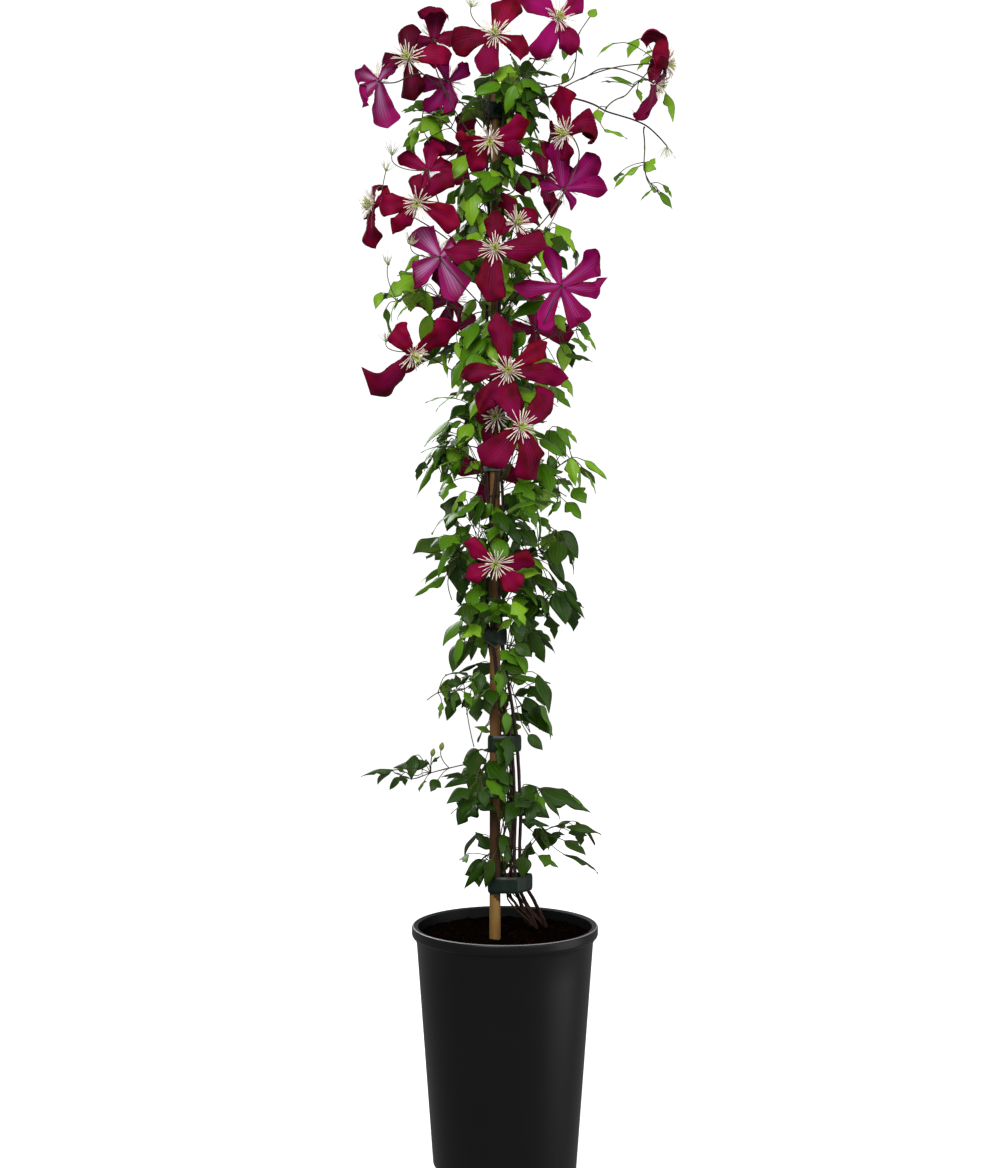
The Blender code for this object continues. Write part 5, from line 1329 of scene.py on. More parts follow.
def build_cane():
    """A bar with a swelling on each joint and a groove under it; its look goes by height."""
    rings, sides = 420, 28
    level = np.linspace(CANE_FOOT, CANE_TOP, rings)
    radius = np.minimum(cane_radius(level), cane_radius(SOIL_LEVEL))
    for joint in CANE_JOINTS:
        radius = radius + 0.3 * hump(level - joint, 0, 1.6) - 0.18 * hump(level - joint + 2.6, 0, 0.9)
    path = np.stack([np.full(rings, CANE_X), np.full(rings, CANE_Y), level], -1)
    points, faces = bars(path[None], radius[None], sides)
    wood, pale, shade_band = (mottled(*row, BAMBOO_GRAIN, bump=0.3) for row in BAMBOO_LOOKS)
    ring = new_look("bamboo_joint", "33200F", 0.7)
    height = np.repeat((level[1:] + level[:-1]) / 2, sides)
    wander = 5.0 * np.sin(2.0 * np.tile(np.arange(sides), rings - 1) * math.pi / sides + 1.0)
    tone = np.where(height + wander < STRAW_FOOT_TOP, 1, np.where(height + 3 * wander < SHADE_BAND_TOP, 3, 0))
    for joint in CANE_JOINTS:
        tone = np.where(np.abs(height - joint + 2.4) < 1.2, 2, tone)
    return mesh_piece("cane_skin", points, faces, [wood, pale, ring, shade_band], [tone, np.array([1, 0])])


cane_piece = build_cane()
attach(cane_piece, "root")
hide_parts("cane")

# %% [markdown]
# ## Vine stems and arching bough
# Old clematis stems are thin, ribbed and shaggy: the bark splits into long strips. The relief is in the
# mesh, because a bump in the look alone would leave the edges straight: the radius follows ribs that run
# along the stem, waver with height and break up here and there.

# %% Stems with bark relief
def ribbed_bar(name, line, radii, rings, sides, ribs, relief, looks):
    """A bar with ribs and flakes of bark; relief is their height as a share of its radius."""
    path, size = resampled(line, radii, rings)
    points, faces = bars(path[None], size[None], sides)
    turn = np.tile(all_round(sides), rings)
    along = np.repeat(np.linspace(0, 1, rings) * np.linalg.norm(path[-1] - path[0]), sides)
    rib = np.sin(ribs * turn + 1.3 * np.sin(along / 17.0) + along / 40.0)
    flake = np.sin(along / 2.9 + 3 * np.sin(turn + along / 11.0))
    centre = np.repeat(path, sides, axis=0)
    points = centre + (points - centre) * (1 + relief * (0.6 * rib + 0.4 * flake * (rib > 0)))[:, None]
    if line[0][2] < SOIL_LEVEL + 5:
        points[:sides, 2] = SOIL_LEVEL + GAP
    return mesh_piece(name, points, faces, looks)


# Old clematis bark splits lengthwise: dark with pale strips, rough and dull. The bough's is smoother.
stem_bark = mottled("vine_bark", "22120D", 0.6, "120907", "3C2018", 3, shine=0.3,
                    stretch=(1, 1, 0.15), bump=0.6, bump_mm=0.2)
bough_bark = mottled("bough_bark", "2A1C18", 0.7, "1E1412", "3E2A22", 3, shine=0.2, bump=0.3)
for number, (route, radii) in enumerate(ROUTES, start=1):
    piece = ribbed_bar(f"stem_bark_{number}", route, radii * 0.85, 520, 16, 5, 0.13, [stem_bark])
    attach(piece, "root")
    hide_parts(f"stem_{number}")
arch_path, arch_radii = NODES["arch_bough"][0][1:]
arch_piece = ribbed_bar("arch_bark", arch_path, arch_radii * 0.62, 140, 10, 3, 0.08, [bough_bark])
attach(arch_piece, "root")
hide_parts("arch_bough")

# %% [markdown]
# ## Old shoots
# Last year's thin shoots still wind up between the stems and the cane. Each follows one stem and swings
# from side to side between it and the cane, so it passes through the ties with them. Waves of drawn pace
# give each its own line.

# %% Old shoots
OLD_SHOOT_SEED = 77
OLD_SHOOTS = 9
OLD_SHOOT_RADII = (0.45, 0.8)
OLD_SHOOT_TOP = (420.0, 640.0)


def wave_along(share, turns, rng):
    """A wave with a drawn number of turns and a drawn start."""
    return np.sin(2 * math.pi * rng.uniform(*turns) * share + rng.uniform(0, 6.28))


def build_old_shoots():
    """Lines that swing between a stem and the cane by waves in their height."""
    rng = np.random.default_rng(OLD_SHOOT_SEED)
    lines, sizes = [], []
    share = np.linspace(0, 1, 90)
    for number in range(OLD_SHOOTS):
        route, _ = ROUTES[number % 3]
        level = SOIL_LEVEL + 1 + (rng.uniform(*OLD_SHOOT_TOP) - SOIL_LEVEL) * share
        beside = place_at(route, level)
        swing = (rng.uniform(0.25, 0.5) + 0.2 * wave_along(share, (2, 4), rng))[:, None]
        offset = np.array([CANE_X, CANE_Y]) - beside
        square = np.stack([-offset[:, 1], offset[:, 0]], -1)
        aside = (0.25 * wave_along(share, (1.5, 3), rng) * np.clip(share * 4, 0, 1))[:, None]
        flat = beside + offset * swing * np.clip(share * 8, 0.1, 1)[:, None] + square * aside
        lines.append(np.column_stack([flat, level]))
        sizes.append(rng.uniform(*OLD_SHOOT_RADII) * (1 - 0.4 * share))
    points, faces = bars(lines, sizes, 7)
    # Dry shoots: brown with worn, pale patches and a faint gloss
    look = mottled("old_shoot", "2A1812", 0.6, "180C08", "4E3426", 8, shine=0.3, bump=0.3)
    return mesh_piece("old_shoots", points, faces, [look])


old_shoot_piece = build_old_shoots()
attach(old_shoot_piece, "root")
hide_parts("stem_1")

# %% [markdown]
# ## Ties
# Each tie is a soft plastic strap closed round cane and stems by a stud. The band follows the same outline
# as the solid, with rounded edges, so that it is as tight as the real one, and the stud and its tail are
# small raised blocks on the front.

# %% Ties
TIE_RINGS, TIE_SIDES = 9, 56
# The stud and the strap's tail: place beside the middle of the front, and half sizes
TIE_STUDS = (((3.0, 0.3, 0), (2.2, 1.1, 2.4)), ((-4.5, 0.4, 0), (3.2, 0.9, 3.6)))


def build_tie(number, level, looks):
    """A band whose rows bulge from the inner outline to the outer one, and two small blocks."""
    inner, outer = (tie_outline(level, ROUTES, distance, TIE_SIDES) for distance in (0.0, TIE_WALL))
    swing = np.linspace(-1, 1, TIE_RINGS)
    bulge = 1 - 0.55 * np.abs(swing) ** 6
    rows = inner[None] + (outer - inner)[None] * bulge[:, None, None]
    rows = np.concatenate([rows, inner[None], inner[None]])
    heights = level + np.append(swing, (1, -1)) * TIE_HEIGHT / 2
    skin = np.dstack([rows, np.repeat(heights[:, None], TIE_SIDES, 1)])
    band = grid_faces(len(rows) + 1, TIE_SIDES) % (len(rows) * TIE_SIDES)
    front = np.array([inner.mean(axis=0)[0], outer[:, 1].min() + 0.2, level])
    studs = [front + shift + BLOCK_CORNERS * half for shift, half in TIE_STUDS]
    points = np.concatenate([skin.reshape(-1, 3), *studs])
    studded = repeated(BLOCK_FACES, len(studs), 8) + len(rows) * TIE_SIDES
    return mesh_piece(f"tie_strap_{number}", points, [band, studded], looks, smooth=False)


# Moulded soft plastic: an even dark green with some gloss. One tie is of a pale grey-green kind.
dark_tie = mottled("dark_green_plastic", "0A1812", 0.4, "091610", "14281E", 9, shine=0.3)
pale_tie = mottled("pale_green_plastic", "4C6E64", 0.3, "3E5C52", "5E8276", 9)
for number, level in enumerate(TIE_LEVELS, start=1):
    piece = build_tie(number, level, [pale_tie if number == 4 else dark_tie])
    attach(piece, "root")
    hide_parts(f"tie_{number}")

# %% [markdown]
# ## Leaf blades
# A clematis leaflet is a thin pointed oval. Its nerves leave the base together and run in curves beside
# the midrib, which lies in a shallow groove on top and stands out below. Some leaflets have one or two
# side lobes. One blade could be copied, but no two real ones bend alike, so all are worked out at once
# with draws of their own: each is a closed shell whose rings go round the blade, over the top from margin
# to margin and back underneath.

# %% Leaf blades
LEAF_SEED = 31
LEAF_ROWS = 15
LEAF_ACROSS = np.array([-1, -0.72, -0.38, -0.08, 0, 0.08, 0.38, 0.72, 1])
LEAF_SKIN = 0.32
BLADE_SHARE = 0.94
LEAF_PATCH = 11
NERVE_PITCH = 0.19
# Ranges of what is drawn for each blade: its wave's start and height, its twist, its fold and its droop
LEAF_BENDS = ((0, 2 * math.pi), (0.25, 1.0), (-0.5, 0.5), (0.02, 0.11), (0.02, 0.16))


def ring_across(across):
    """Going round a blade: over the top from -1 to 1, then back below between the margins."""
    places = np.concatenate([across, across[-2:0:-1]])
    lower = np.concatenate([np.zeros(len(across)), np.ones(len(across) - 2)])
    return places, lower


def shell_uv(across, share):
    """Places across and along a blade, for its look."""
    return np.stack(np.broadcast_arrays(across / 2 + 0.5, share), -1)


def leaf_width(share, lobe, lobe_place, across):
    """The blade's width over its full width: an oval with a drawn-out tip, and a lobe on one or both sides.

    A lobe swells the margin below its place and notches it just above.
    """
    oval = np.sin(math.pi * np.clip(share, 0, 1) ** 0.74) ** 0.9 * (1 - 0.3 * share ** 4)
    swell = 0.42 * hump(share - lobe_place + 0.1, 0, 0.09)
    notch = 0.5 * hump(share - lobe_place - 0.07, 0, 0.07)
    return oval * (1 + lobe * (swell - notch) * np.clip(np.abs(across) * 1.6 - 0.3, 0, 1))


def blades(leaves, rng):
    """Points, faces and UVs of many leaflets given as (base, tip, facing, width share)."""
    base, tip, facing = (np.array([leaf[part] for leaf in leaves], float)[:, None, None, :]
                         for part in range(3))
    width = np.array([leaf[3] for leaf in leaves])[:, None, None] * BLADE_SHARE
    length = np.linalg.norm(tip - base, axis=-1)
    ahead = (tip - base) / length[..., None]
    up = facing - ahead * (ahead * facing).sum(axis=-1, keepdims=True)
    up /= np.linalg.norm(up, axis=-1, keepdims=True) + 1e-9
    one_each = (len(leaves), 1, 1)
    share = (1 - np.cos(np.linspace(0.02, 1, LEAF_ROWS) * math.pi)) / 2
    share = (0.35 * share + 0.65 * np.linspace(0.004, 1, LEAF_ROWS))[:, None]
    across, lower = ring_across(LEAF_ACROSS)
    sides = np.sign(across) * rng.choice((-1, 1), one_each)
    lobe = (rng.random(one_each) < 0.75) * rng.uniform(0.6, 1.1, one_each)
    lobe = lobe * np.where(sides > 0, 1.0, rng.random(one_each) < 0.5)
    lobe_place = np.where(sides > 0, rng.uniform(0.36, 0.55, one_each), rng.uniform(0.4, 0.62, one_each))
    phase, wave, twist, fold, droop = (rng.uniform(low, high, one_each) for low, high in LEAF_BENDS)
    half = np.maximum(width * length / 2 * leaf_width(share, lobe, lobe_place, across), 0.12)
    edge = np.abs(across)
    height = length * (0.07 * 4 * share * (1 - share) - droop * share ** 3)
    height = height - length * fold * edge ** 1.3 * (half / (length * width / 2))
    height = height + length * 0.035 * wave * np.sin(10.5 * share + phase + 1.5 * np.sign(across)) * edge ** 2
    groove = -0.25 * hump(across, 0, 0.07) * (1 - share)
    nerves = 0.12 * hump(edge, 0.38, 0.1) * np.sin(math.pi * share)
    height = height + groove - nerves
    height = height - lower * LEAF_SKIN * (1 - edge ** 4) - lower * 0.25 * hump(across, 0, 0.1)
    turned = twist * share * across * half * 0.5
    spot = base + ahead * (share * length)[..., None] + np.cross(ahead, up) * (across * half)[..., None]
    spot = spot + up * (height + turned)[..., None]
    uv = np.broadcast_to(shell_uv(across, share), (*spot.shape[:3], 2)).reshape(-1, 2)
    return spot.reshape(-1, 3), shell_faces(LEAF_ROWS, len(across), len(leaves)), uv

# %% Leaf finish
def leaf_look(name, colour, other, rib):
    """A leaf's waxy finish: mottled green, with paler nerves by their place across the blade."""
    look = new_look(name, colour, 0.38, Specular_IOR_Level=0.24)
    place = add_node(look, "ShaderNodeTexCoord").outputs
    noise = add_node(look, "ShaderNodeTexNoise",
                     {"Vector": place["Object"], "Scale": 1000 / LEAF_PATCH, "Detail": 3.0})
    mottle = add_node(look, "ShaderNodeMix",
                      {0: noise.outputs["Fac"], MIX_FIRST: colour, MIX_SECOND: other}, data_type="RGBA")
    # The nerves are the crests of a wave in the distance from the blade's middle.
    wave = add_node(look, "ShaderNodeSeparateXYZ", {"Vector": place["UV"]}).outputs["X"]
    for operation, number in (("SUBTRACT", 0.5), ("ABSOLUTE", 0), ("MULTIPLY", 2 * math.pi / NERVE_PITCH),
                              ("COSINE", 0)):
        wave = add_node(look, "ShaderNodeMath", {0: wave, 1: number}, operation=operation).outputs[0]
    nerve = add_node(look, "ShaderNodeMapRange", {0: wave, 1: 0.86, 2: 1.0, 3: 0.0, 4: 0.42})
    veined = add_node(look, "ShaderNodeMix", {0: nerve.outputs[0], MIX_FIRST: mottle.outputs[MIX_RESULT],
                                              MIX_SECOND: rib}, data_type="RGBA")
    return finished(look, veined.outputs[MIX_RESULT], wave, 0.25, 0.15)


# The two colours of the top, the underside and the nerves
GREENS = {
    "bright": ("86B626", "649410", "8CAE48", "A8CA52"),
    "fresh": ("588A10", "3E6C06", "6C9030", "7AA22A"),
    "deep": ("2C4E05", "1C3A02", "44661E", "486C12"),
    "grey": ("324E0C", "223C06", "4C6C2E", "486C22"),
}
# The share of each green, from the lowest level up, and on the sprigs. Darker greens low down and brighter
# ones high up and on the sprigs are painted light and shade: shade in the lower foliage, light on the crown.
TONES_BY_LEVEL = ((-math.inf, (0.02, 0.22, 0.52, 0.24)), (420, (0.10, 0.36, 0.38, 0.16)),
                  (560, (0.38, 0.38, 0.17, 0.07)))
TONES_SPRIG = (0.6, 0.4, 0.0, 0.0)
SHOOT_TONE_KEPT = 0.35

LEAF_NODES = [name for name in NODES if name.startswith(("leaves", "sprig"))]
FLOWER_NODES = [name for name in NODES if name.startswith("flower")]
LEAVES = parts_of(NODES, "leaf")
print(len(LEAVES), "leaflets on", len(LEAF_NODES), "shoots")


def tone_of(name, level, rng):
    """The green of a leaflet, as a number: brighter on the sprigs and high up, darker low down, as painted
    light and shade.
    """
    by_level = [tones for start, tones in TONES_BY_LEVEL if level > start]
    return rng.choice(len(GREENS), p=TONES_SPRIG if name.startswith("sprig") else by_level[-1])


def below(across):
    """For the faces round a blade, whether each lies below."""
    return (np.arange(len(across) * 2 - 2) >= len(across) - 1).astype(int)

# %% All leaflets
def build_leaves():
    """The leaflets, one piece for each green."""
    rng = np.random.default_rng(LEAF_SEED)
    shoot_tone = {name: tone_of(name, NODES[name][0][1][-1, 2], rng) for name in LEAF_NODES}
    groups = [[] for _ in GREENS]
    for name, _, leaf in LEAVES:
        kept = rng.random() < SHOOT_TONE_KEPT
        groups[shoot_tone[name] if kept else tone_of(name, leaf[0][2], rng)].append(leaf)
    for (key, (colour, other, under, rib)), leaves in zip(GREENS.items(), groups):
        points, faces, uv = blades(leaves, rng)
        looks = [leaf_look(f"leaf_{key}", colour, other, rib),
                 leaf_look(f"leaf_{key}_underside", under, colour, rib)]
        tone = np.tile(below(LEAF_ACROSS), (LEAF_ROWS - 1) * len(leaves))
        yield mesh_piece(f"leaflets_{key}", points, faces, looks, [tone, np.zeros(len(leaves) * 2, int)], uv)


for piece in build_leaves():
    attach(piece, "root")
    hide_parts(*LEAF_NODES)

# %% [markdown]
# ## Leaf stalks and shoot stems
# The shoots are wiry and dark. The leaf stalks are thinner, bend freely and swell where they meet the
# stem and the blade; a climbing clematis holds on by winding them round things.

# %% Leaf stalks and shoot stems
PETIOLE_ROWS, SHOOT_ROWS = 10, 46
SHOOT_JOINTS = np.array([0.0, 0.3, 0.55, 0.78])


def twigs_of(names, rows, radii_of):
    """Lines and radii of all twigs of the nodes named, each in so many rows."""
    twigs = [resampled(*twig, rows) for name, *twig in parts_of(NODES, "twig") if name in names]
    return [line for line, _ in twigs], [radii * radii_of for _, radii in twigs]


def build_stalks():
    """A bar from the shoot to each leaflet, thicker at both ends."""
    lines = [curve_through(np.vstack([path[:-1], leaf[0] + unit(leaf[1] - leaf[0])]), PETIOLE_ROWS)
             for _, path, leaf in LEAVES]
    share = np.linspace(0, 1, PETIOLE_ROWS)
    radii = 0.36 + 0.24 * hump(share, 0, 0.08) + 0.12 * hump(share, 1, 0.07)
    points, faces = bars(lines, [radii] * len(lines), 6)
    # Living leaf stalks: brown-red to green, with a faint gloss
    look = mottled("leaf_stalk", "3C3A1C", 0.6, "2A2414", "56602A", 9, shine=0.2)
    return mesh_piece("leaf_stalks", points, faces, [look])


def build_shoots():
    """A bar along each shoot, swollen at its joints."""
    share = np.linspace(0, 1, SHOOT_ROWS)[:, None]
    joints = 1 + 0.32 * hump(share, SHOOT_JOINTS, 0.022).sum(axis=1)
    points, faces = bars(*twigs_of(LEAF_NODES, SHOOT_ROWS, 0.5 * joints), 9)
    # Young shoots: brown where they ripen and green between, with a faint gloss
    look = mottled("shoot_stem", "3C3A1E", 0.6, "281C12", "5C6432", 14, shine=0.2, bump=0.3)
    return mesh_piece("shoot_stems", points, faces, [look])


for piece in (build_stalks(), build_shoots()):
    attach(piece, "root")
    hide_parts(*LEAF_NODES)

# %% [markdown]
# ## Sepals
# What looks like petals are four to six velvety sepals. Each is a wedge: narrow at its foot, with nearly
# straight margins out to two blunt shoulders, which differ from side to side, and then a short pointed
# end. Its margins are ruffled, its shoulders and tip roll forward or back, and three ribs run down its
# middle. The back is paler, with a lilac bar. A sepal is a closed shell like a leaf's. Simulated cloth
# could ruffle it, but waves along the margins come out the same each time.

# %% Sepals
SEPAL_SEED = 17
SEPAL_ROWS = 20
SEPAL_RIBS = (-0.22, 0.0, 0.22)
SEPAL_ACROSS = np.array([-1, -0.86, -0.66, -0.46, -0.32, -0.22, -0.11,
                         0, 0.11, 0.22, 0.32, 0.46, 0.66, 0.86, 1])
SEPAL_SKIN = 0.45
SEPAL_FOOT = 0.075
VELVET_PATCH, FLUSH_PATCH = 7, 24
LINE_PITCH = 0.11
SHOULDER_PLACE = (0.58, 0.84)
SHOULDER_WIDTH = (0.25, 0.35)
SEPAL_ROOM = (0.76, 1.06)


def flower_rows():
    """Each flower as ((node, number), centre, facing, sepals)."""
    rows = []
    for name, flower, depth in parts_of(NODES, "flower"):
        twin = sum(row[0][0] == name for row in rows)
        rows.append(((name, twin), seen(flower[0], depth), *petals_of(flower)))
    return rows


FLOWER_ROWS = flower_rows()
print(len(FLOWER_ROWS), "flowers with", sum(len(row[3]) for row in FLOWER_ROWS), "sepals")


def half_width(share, rng):
    """One side's half width over a sepal's length: a rise to the shoulder, then a rounded fall."""
    place = rng.uniform(*SHOULDER_PLACE)
    rise = np.clip(share / place, 0, 1) ** rng.uniform(0.75, 1.25)
    fall = 1 - np.clip((share - place) / (1 - place), 0, 1) ** rng.uniform(1.15, 2.3)
    return np.maximum((SEPAL_FOOT + (rng.uniform(*SHOULDER_WIDTH) - SEPAL_FOOT) * rise) * fall, 0.006)


def sepal_points(centre, facing, direction, length, curl, room, rng):
    """Points of one sepal's shell, row by row; room is its share of the full width."""
    side = np.cross(facing, direction)
    share = np.linspace(0, 1, SEPAL_ROWS)
    out, rise, slope = sepal_line(length, curl, share)
    normal = facing * np.cos(slope)[:, None] - direction * np.sin(slope)[:, None]
    turned = (rng.uniform(-0.75, 0.75) * share ** 1.6)[:, None]
    level, steep = np.cos(turned), np.sin(turned)
    normal, side = normal * level - side * steep, side * level + normal * steep
    across, lower = ring_across(SEPAL_ACROSS)
    left, right = half_width(share, rng)[:, None], half_width(share, rng)[:, None]
    half = room * length * np.where(across < 0, left, right)
    crooked = rng.uniform(-0.07, 0.07) * length * share ** 2
    phase, pace, size = rng.uniform(0, 6.28), rng.uniform(1.5, 3.0), rng.uniform(0.04, 0.08)
    grown = share[:, None]
    edge = np.abs(across)
    ruffle = size * length * np.sin(2 * math.pi * pace * grown + phase + 1.3 * np.sign(across)) * edge ** 2
    ruffle = ruffle * np.clip(grown * 1.8 - 0.2, 0, 1) * np.clip((1.02 - grown) * 5, 0, 1)
    fine = 0.25 * np.sin(2 * math.pi * 9 * grown + 3 * phase + 2 * np.sign(across)) * edge ** 5
    roll = -half * rng.uniform(0.1, 0.45) * edge ** 2.4
    fold = half * rng.uniform(-0.12, 0.3) * edge
    nip = rng.uniform(-0.16, 0.09) * length * np.clip((grown - 0.68) / 0.32, 0, 1) ** 2
    corner = np.where(across < 0, rng.uniform(-0.8, 0.35), rng.uniform(-0.8, 0.35)) * half
    nip = nip + corner * np.clip((edge - 0.3) / 0.7, 0, 1) ** 2 * hump(grown, 0.8, 0.17)
    ribs = sum(hump(across, rib, 0.07) for rib in SEPAL_RIBS) * 0.3 * np.clip((1 - grown) * 4, 0, 1)
    height = ruffle + fine + roll + fold + nip - ribs - lower * SEPAL_SKIN * (1 - edge ** 4)
    spot = centre + direction * (1.0 + out)[:, None] + facing * rise[:, None] + side * crooked[:, None]
    return (spot[:, None, :] + side[:, None, :] * (across * half)[..., None]
            + normal[:, None, :] * height[..., None])

# %% Velvet
# The two colours of the velvet, the flush over them, and the back. The mottle and flush are partly the
# sepals' own tones and partly painted light: the second colour is darkened as painted shade, and the magenta
# flush is brightened as painted highlight and as light shining through.
WINES = {
    "wine": ("70001C", "460014", "780438", "660630"),
    "crimson": ("84001E", "560014", "8C053C", "740634"),
    "dark_wine": ("500012", "30000A", "4E0220", "4E0426"),
    "magenta": ("86023C", "5A0026", "980860", "800852"),
    "striped": ("86023C", "5A0026", "980860", "8A1464"),
}

# How far the lines on the back run together, how strong they are, and their colour.
BACKS = {"striped": (0.45, 0.85, "DCA8DC"), "magenta": (0.2, 0.6, "BC5CB8")}
PLAIN_BACK = (0.1, 0.3, "B45AA8")
# The front lines are the sepals' own paler ribs, made brighter as a painted highlight.
FRONT_LINES = (0.1, 0.4, "B41C78")


def sepal_look(name, colour, other, far, bar, stripe_share, rib):
    """Velvet in three tones, with lines beside its middle; the bar is how far they run together."""
    look = new_look(name, colour, 0.6, Specular_IOR_Level=0.07, Sheen_Weight=0.07, Sheen_Roughness=0.35,
                    Sheen_Tint=(*linear("C8105A"), 1))
    place = add_node(look, "ShaderNodeTexCoord").outputs
    velvet, flush = (add_node(look, "ShaderNodeTexNoise", {"Vector": place["Object"], "Scale": 1000 / patch,
                                                           "Detail": detail}).outputs["Fac"]
                     for patch, detail in ((VELVET_PATCH, 4.0), (FLUSH_PATCH, 1.0)))
    ramp = add_node(look, "ShaderNodeValToRGB", {"Fac": velvet})
    shown = run_between(ramp, (0.3, 0.7), (other, colour))
    # The lines are the crests of a wave across the sepal, stronger near its middle and near its base.
    across, along, _ = add_node(look, "ShaderNodeSeparateXYZ", {"Vector": place["UV"]}).outputs
    wave, beside = across, across
    for operation, number in (("MULTIPLY_ADD", 2 * math.pi / LINE_PITCH), ("COSINE", 0)):
        wave = add_node(look, "ShaderNodeMath", {0: wave, 1: number, 2: -math.pi / LINE_PITCH},
                        operation=operation).outputs[0]
    for operation in ("SUBTRACT", "ABSOLUTE"):
        beside = add_node(look, "ShaderNodeMath", {0: beside, 1: 0.5}, operation=operation).outputs[0]
    # Each value, the range it is read over, and what that gives
    flushed, line, near, reach = (
        add_node(look, "ShaderNodeMapRange", dict(enumerate(ends))).outputs[0]
        for ends in ((flush, 0.42, 0.62, 0.0, 0.85), (wave, 0.1, 1.0, bar, 1.0),
                     (beside, 0.06, 0.22 + 0.14 * bar, stripe_share, 0.04), (along, 0.25, 0.85, 1.0, 0.06)))
    for share in (near, reach):
        line = add_node(look, "ShaderNodeMath", {0: line, 1: share}, operation="MULTIPLY").outputs[0]
    # The flush mixed in here is partly painted highlight and light shining through, and the lines are partly
    # painted highlight.
    for share, tone in ((flushed, far), (line, rib)):
        mix = add_node(look, "ShaderNodeMix", {0: share, MIX_FIRST: shown, MIX_SECOND: tone},
                       data_type="RGBA")
        shown = mix.outputs[MIX_RESULT]
    return finished(look, shown, velvet, 0.55, 0.3)


# The wine of each flower that shows, by its node and number; the others are drawn with these chances.
FLOWER_TONES = {
    "wine": (("flower_far_left", 0), ("flower_pair_low", 0), ("flower_centre", 0), ("flower_middle", 0),
             ("flower_top", 0)),
    "crimson": (("flower_pair_top_back", 0), ("flower_pair_far_right", 0), ("flower_pair_left", 0),
                ("flower_lowest", 0), ("flower_neck", 0)),
    "dark_wine": (("flower_pair_low", 1),),
    "magenta": (("flower_magenta", 0), ("flower_right", 1), ("flower_top_right", 0),
                ("flower_pair_top_back", 1)),
    "striped": (("flower_striped", 0), ("flower_pair_top_left", 1)),
}
TONE_CHANCES = (0.5, 0.2, 0.3)
OTHER_TONE_CHANCE = 0.4
SEPALS_IN_FULL_WIDTH = 4.4

# %% All sepals
def build_sepals():
    """All sepals as one piece, with a front and a back look for each wine."""
    rng = np.random.default_rng(SEPAL_SEED)
    tones = list(WINES)
    shells, tone = [], []
    for name, centre, facing, petals in FLOWER_ROWS:
        room = np.clip(SEPALS_IN_FULL_WIDTH / len(petals), *SEPAL_ROOM)
        main = tones.index(rng.choice(tones[:3], p=TONE_CHANCES))
        main = next((tones.index(key) for key, names in FLOWER_TONES.items() if name in names), main)
        for direction, length, curl in petals:
            # The hanging sepals of the middle flower are magenta as painted light shining through them.
            hangs = direction[2] < -0.5 and name[0] == "flower_middle"
            other = tones.index("magenta" if hangs else rng.choice(tones[:2]))
            number = other if main < 3 and rng.random() < OTHER_TONE_CHANCE else main
            shells.append(sepal_points(centre, facing, direction, length, curl, room, rng))
            tone.append(np.tile(2 * number + below(SEPAL_ACROSS), SEPAL_ROWS - 1))
    looks = []
    for key, (colour, other, far, back) in WINES.items():
        looks += [sepal_look(f"sepal_{key}", colour, other, far, *FRONT_LINES),
                  sepal_look(f"sepal_{key}_back", back, colour, far, *BACKS.get(key, PLAIN_BACK))]
    across, _ = ring_across(SEPAL_ACROSS)
    uv = shell_uv(across, np.linspace(0, 1, SEPAL_ROWS)[:, None]).reshape(-1, 2)
    count = len(shells)
    return mesh_piece("sepals", np.reshape(shells, (-1, 3)), shell_faces(SEPAL_ROWS, len(across), count),
                      looks, [np.concatenate(tone), np.zeros(count * 2, int)], np.tile(uv, (count, 1)))


sepal_piece = build_sepals()
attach(sepal_piece, "root")
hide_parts(*FLOWER_NODES)

# %% [markdown]
# ## Stamens
# In the middle stands a shuttlecock of flat cream filaments, each with a long anther at its end, round a
# tuft of yellow-green styles. All filaments are bars that lean outwards and bend back a little. The golden
# turn between neighbours, which many real flowers have, keeps them from standing in rows.

# %% Stamens
STAMEN_SEED = 23
STAMENS = 34
STYLES = 26
STAMEN_ROWS, STAMEN_SIDES = 9, 6
ANTHER_START = 5
GOLDEN_TURN = 2.39996
FLOWER_STALK_ROWS = 34
# Ranges of the foot's distance from the middle, of the reach and of the height
STYLE_RANGES = ((0.2, 1.0), (0.8, 4.2), (7.5, 9.5))
STAMEN_RANGES = ((1.0, 2.2), (6.0, 13.5), (9.5, 12.0))


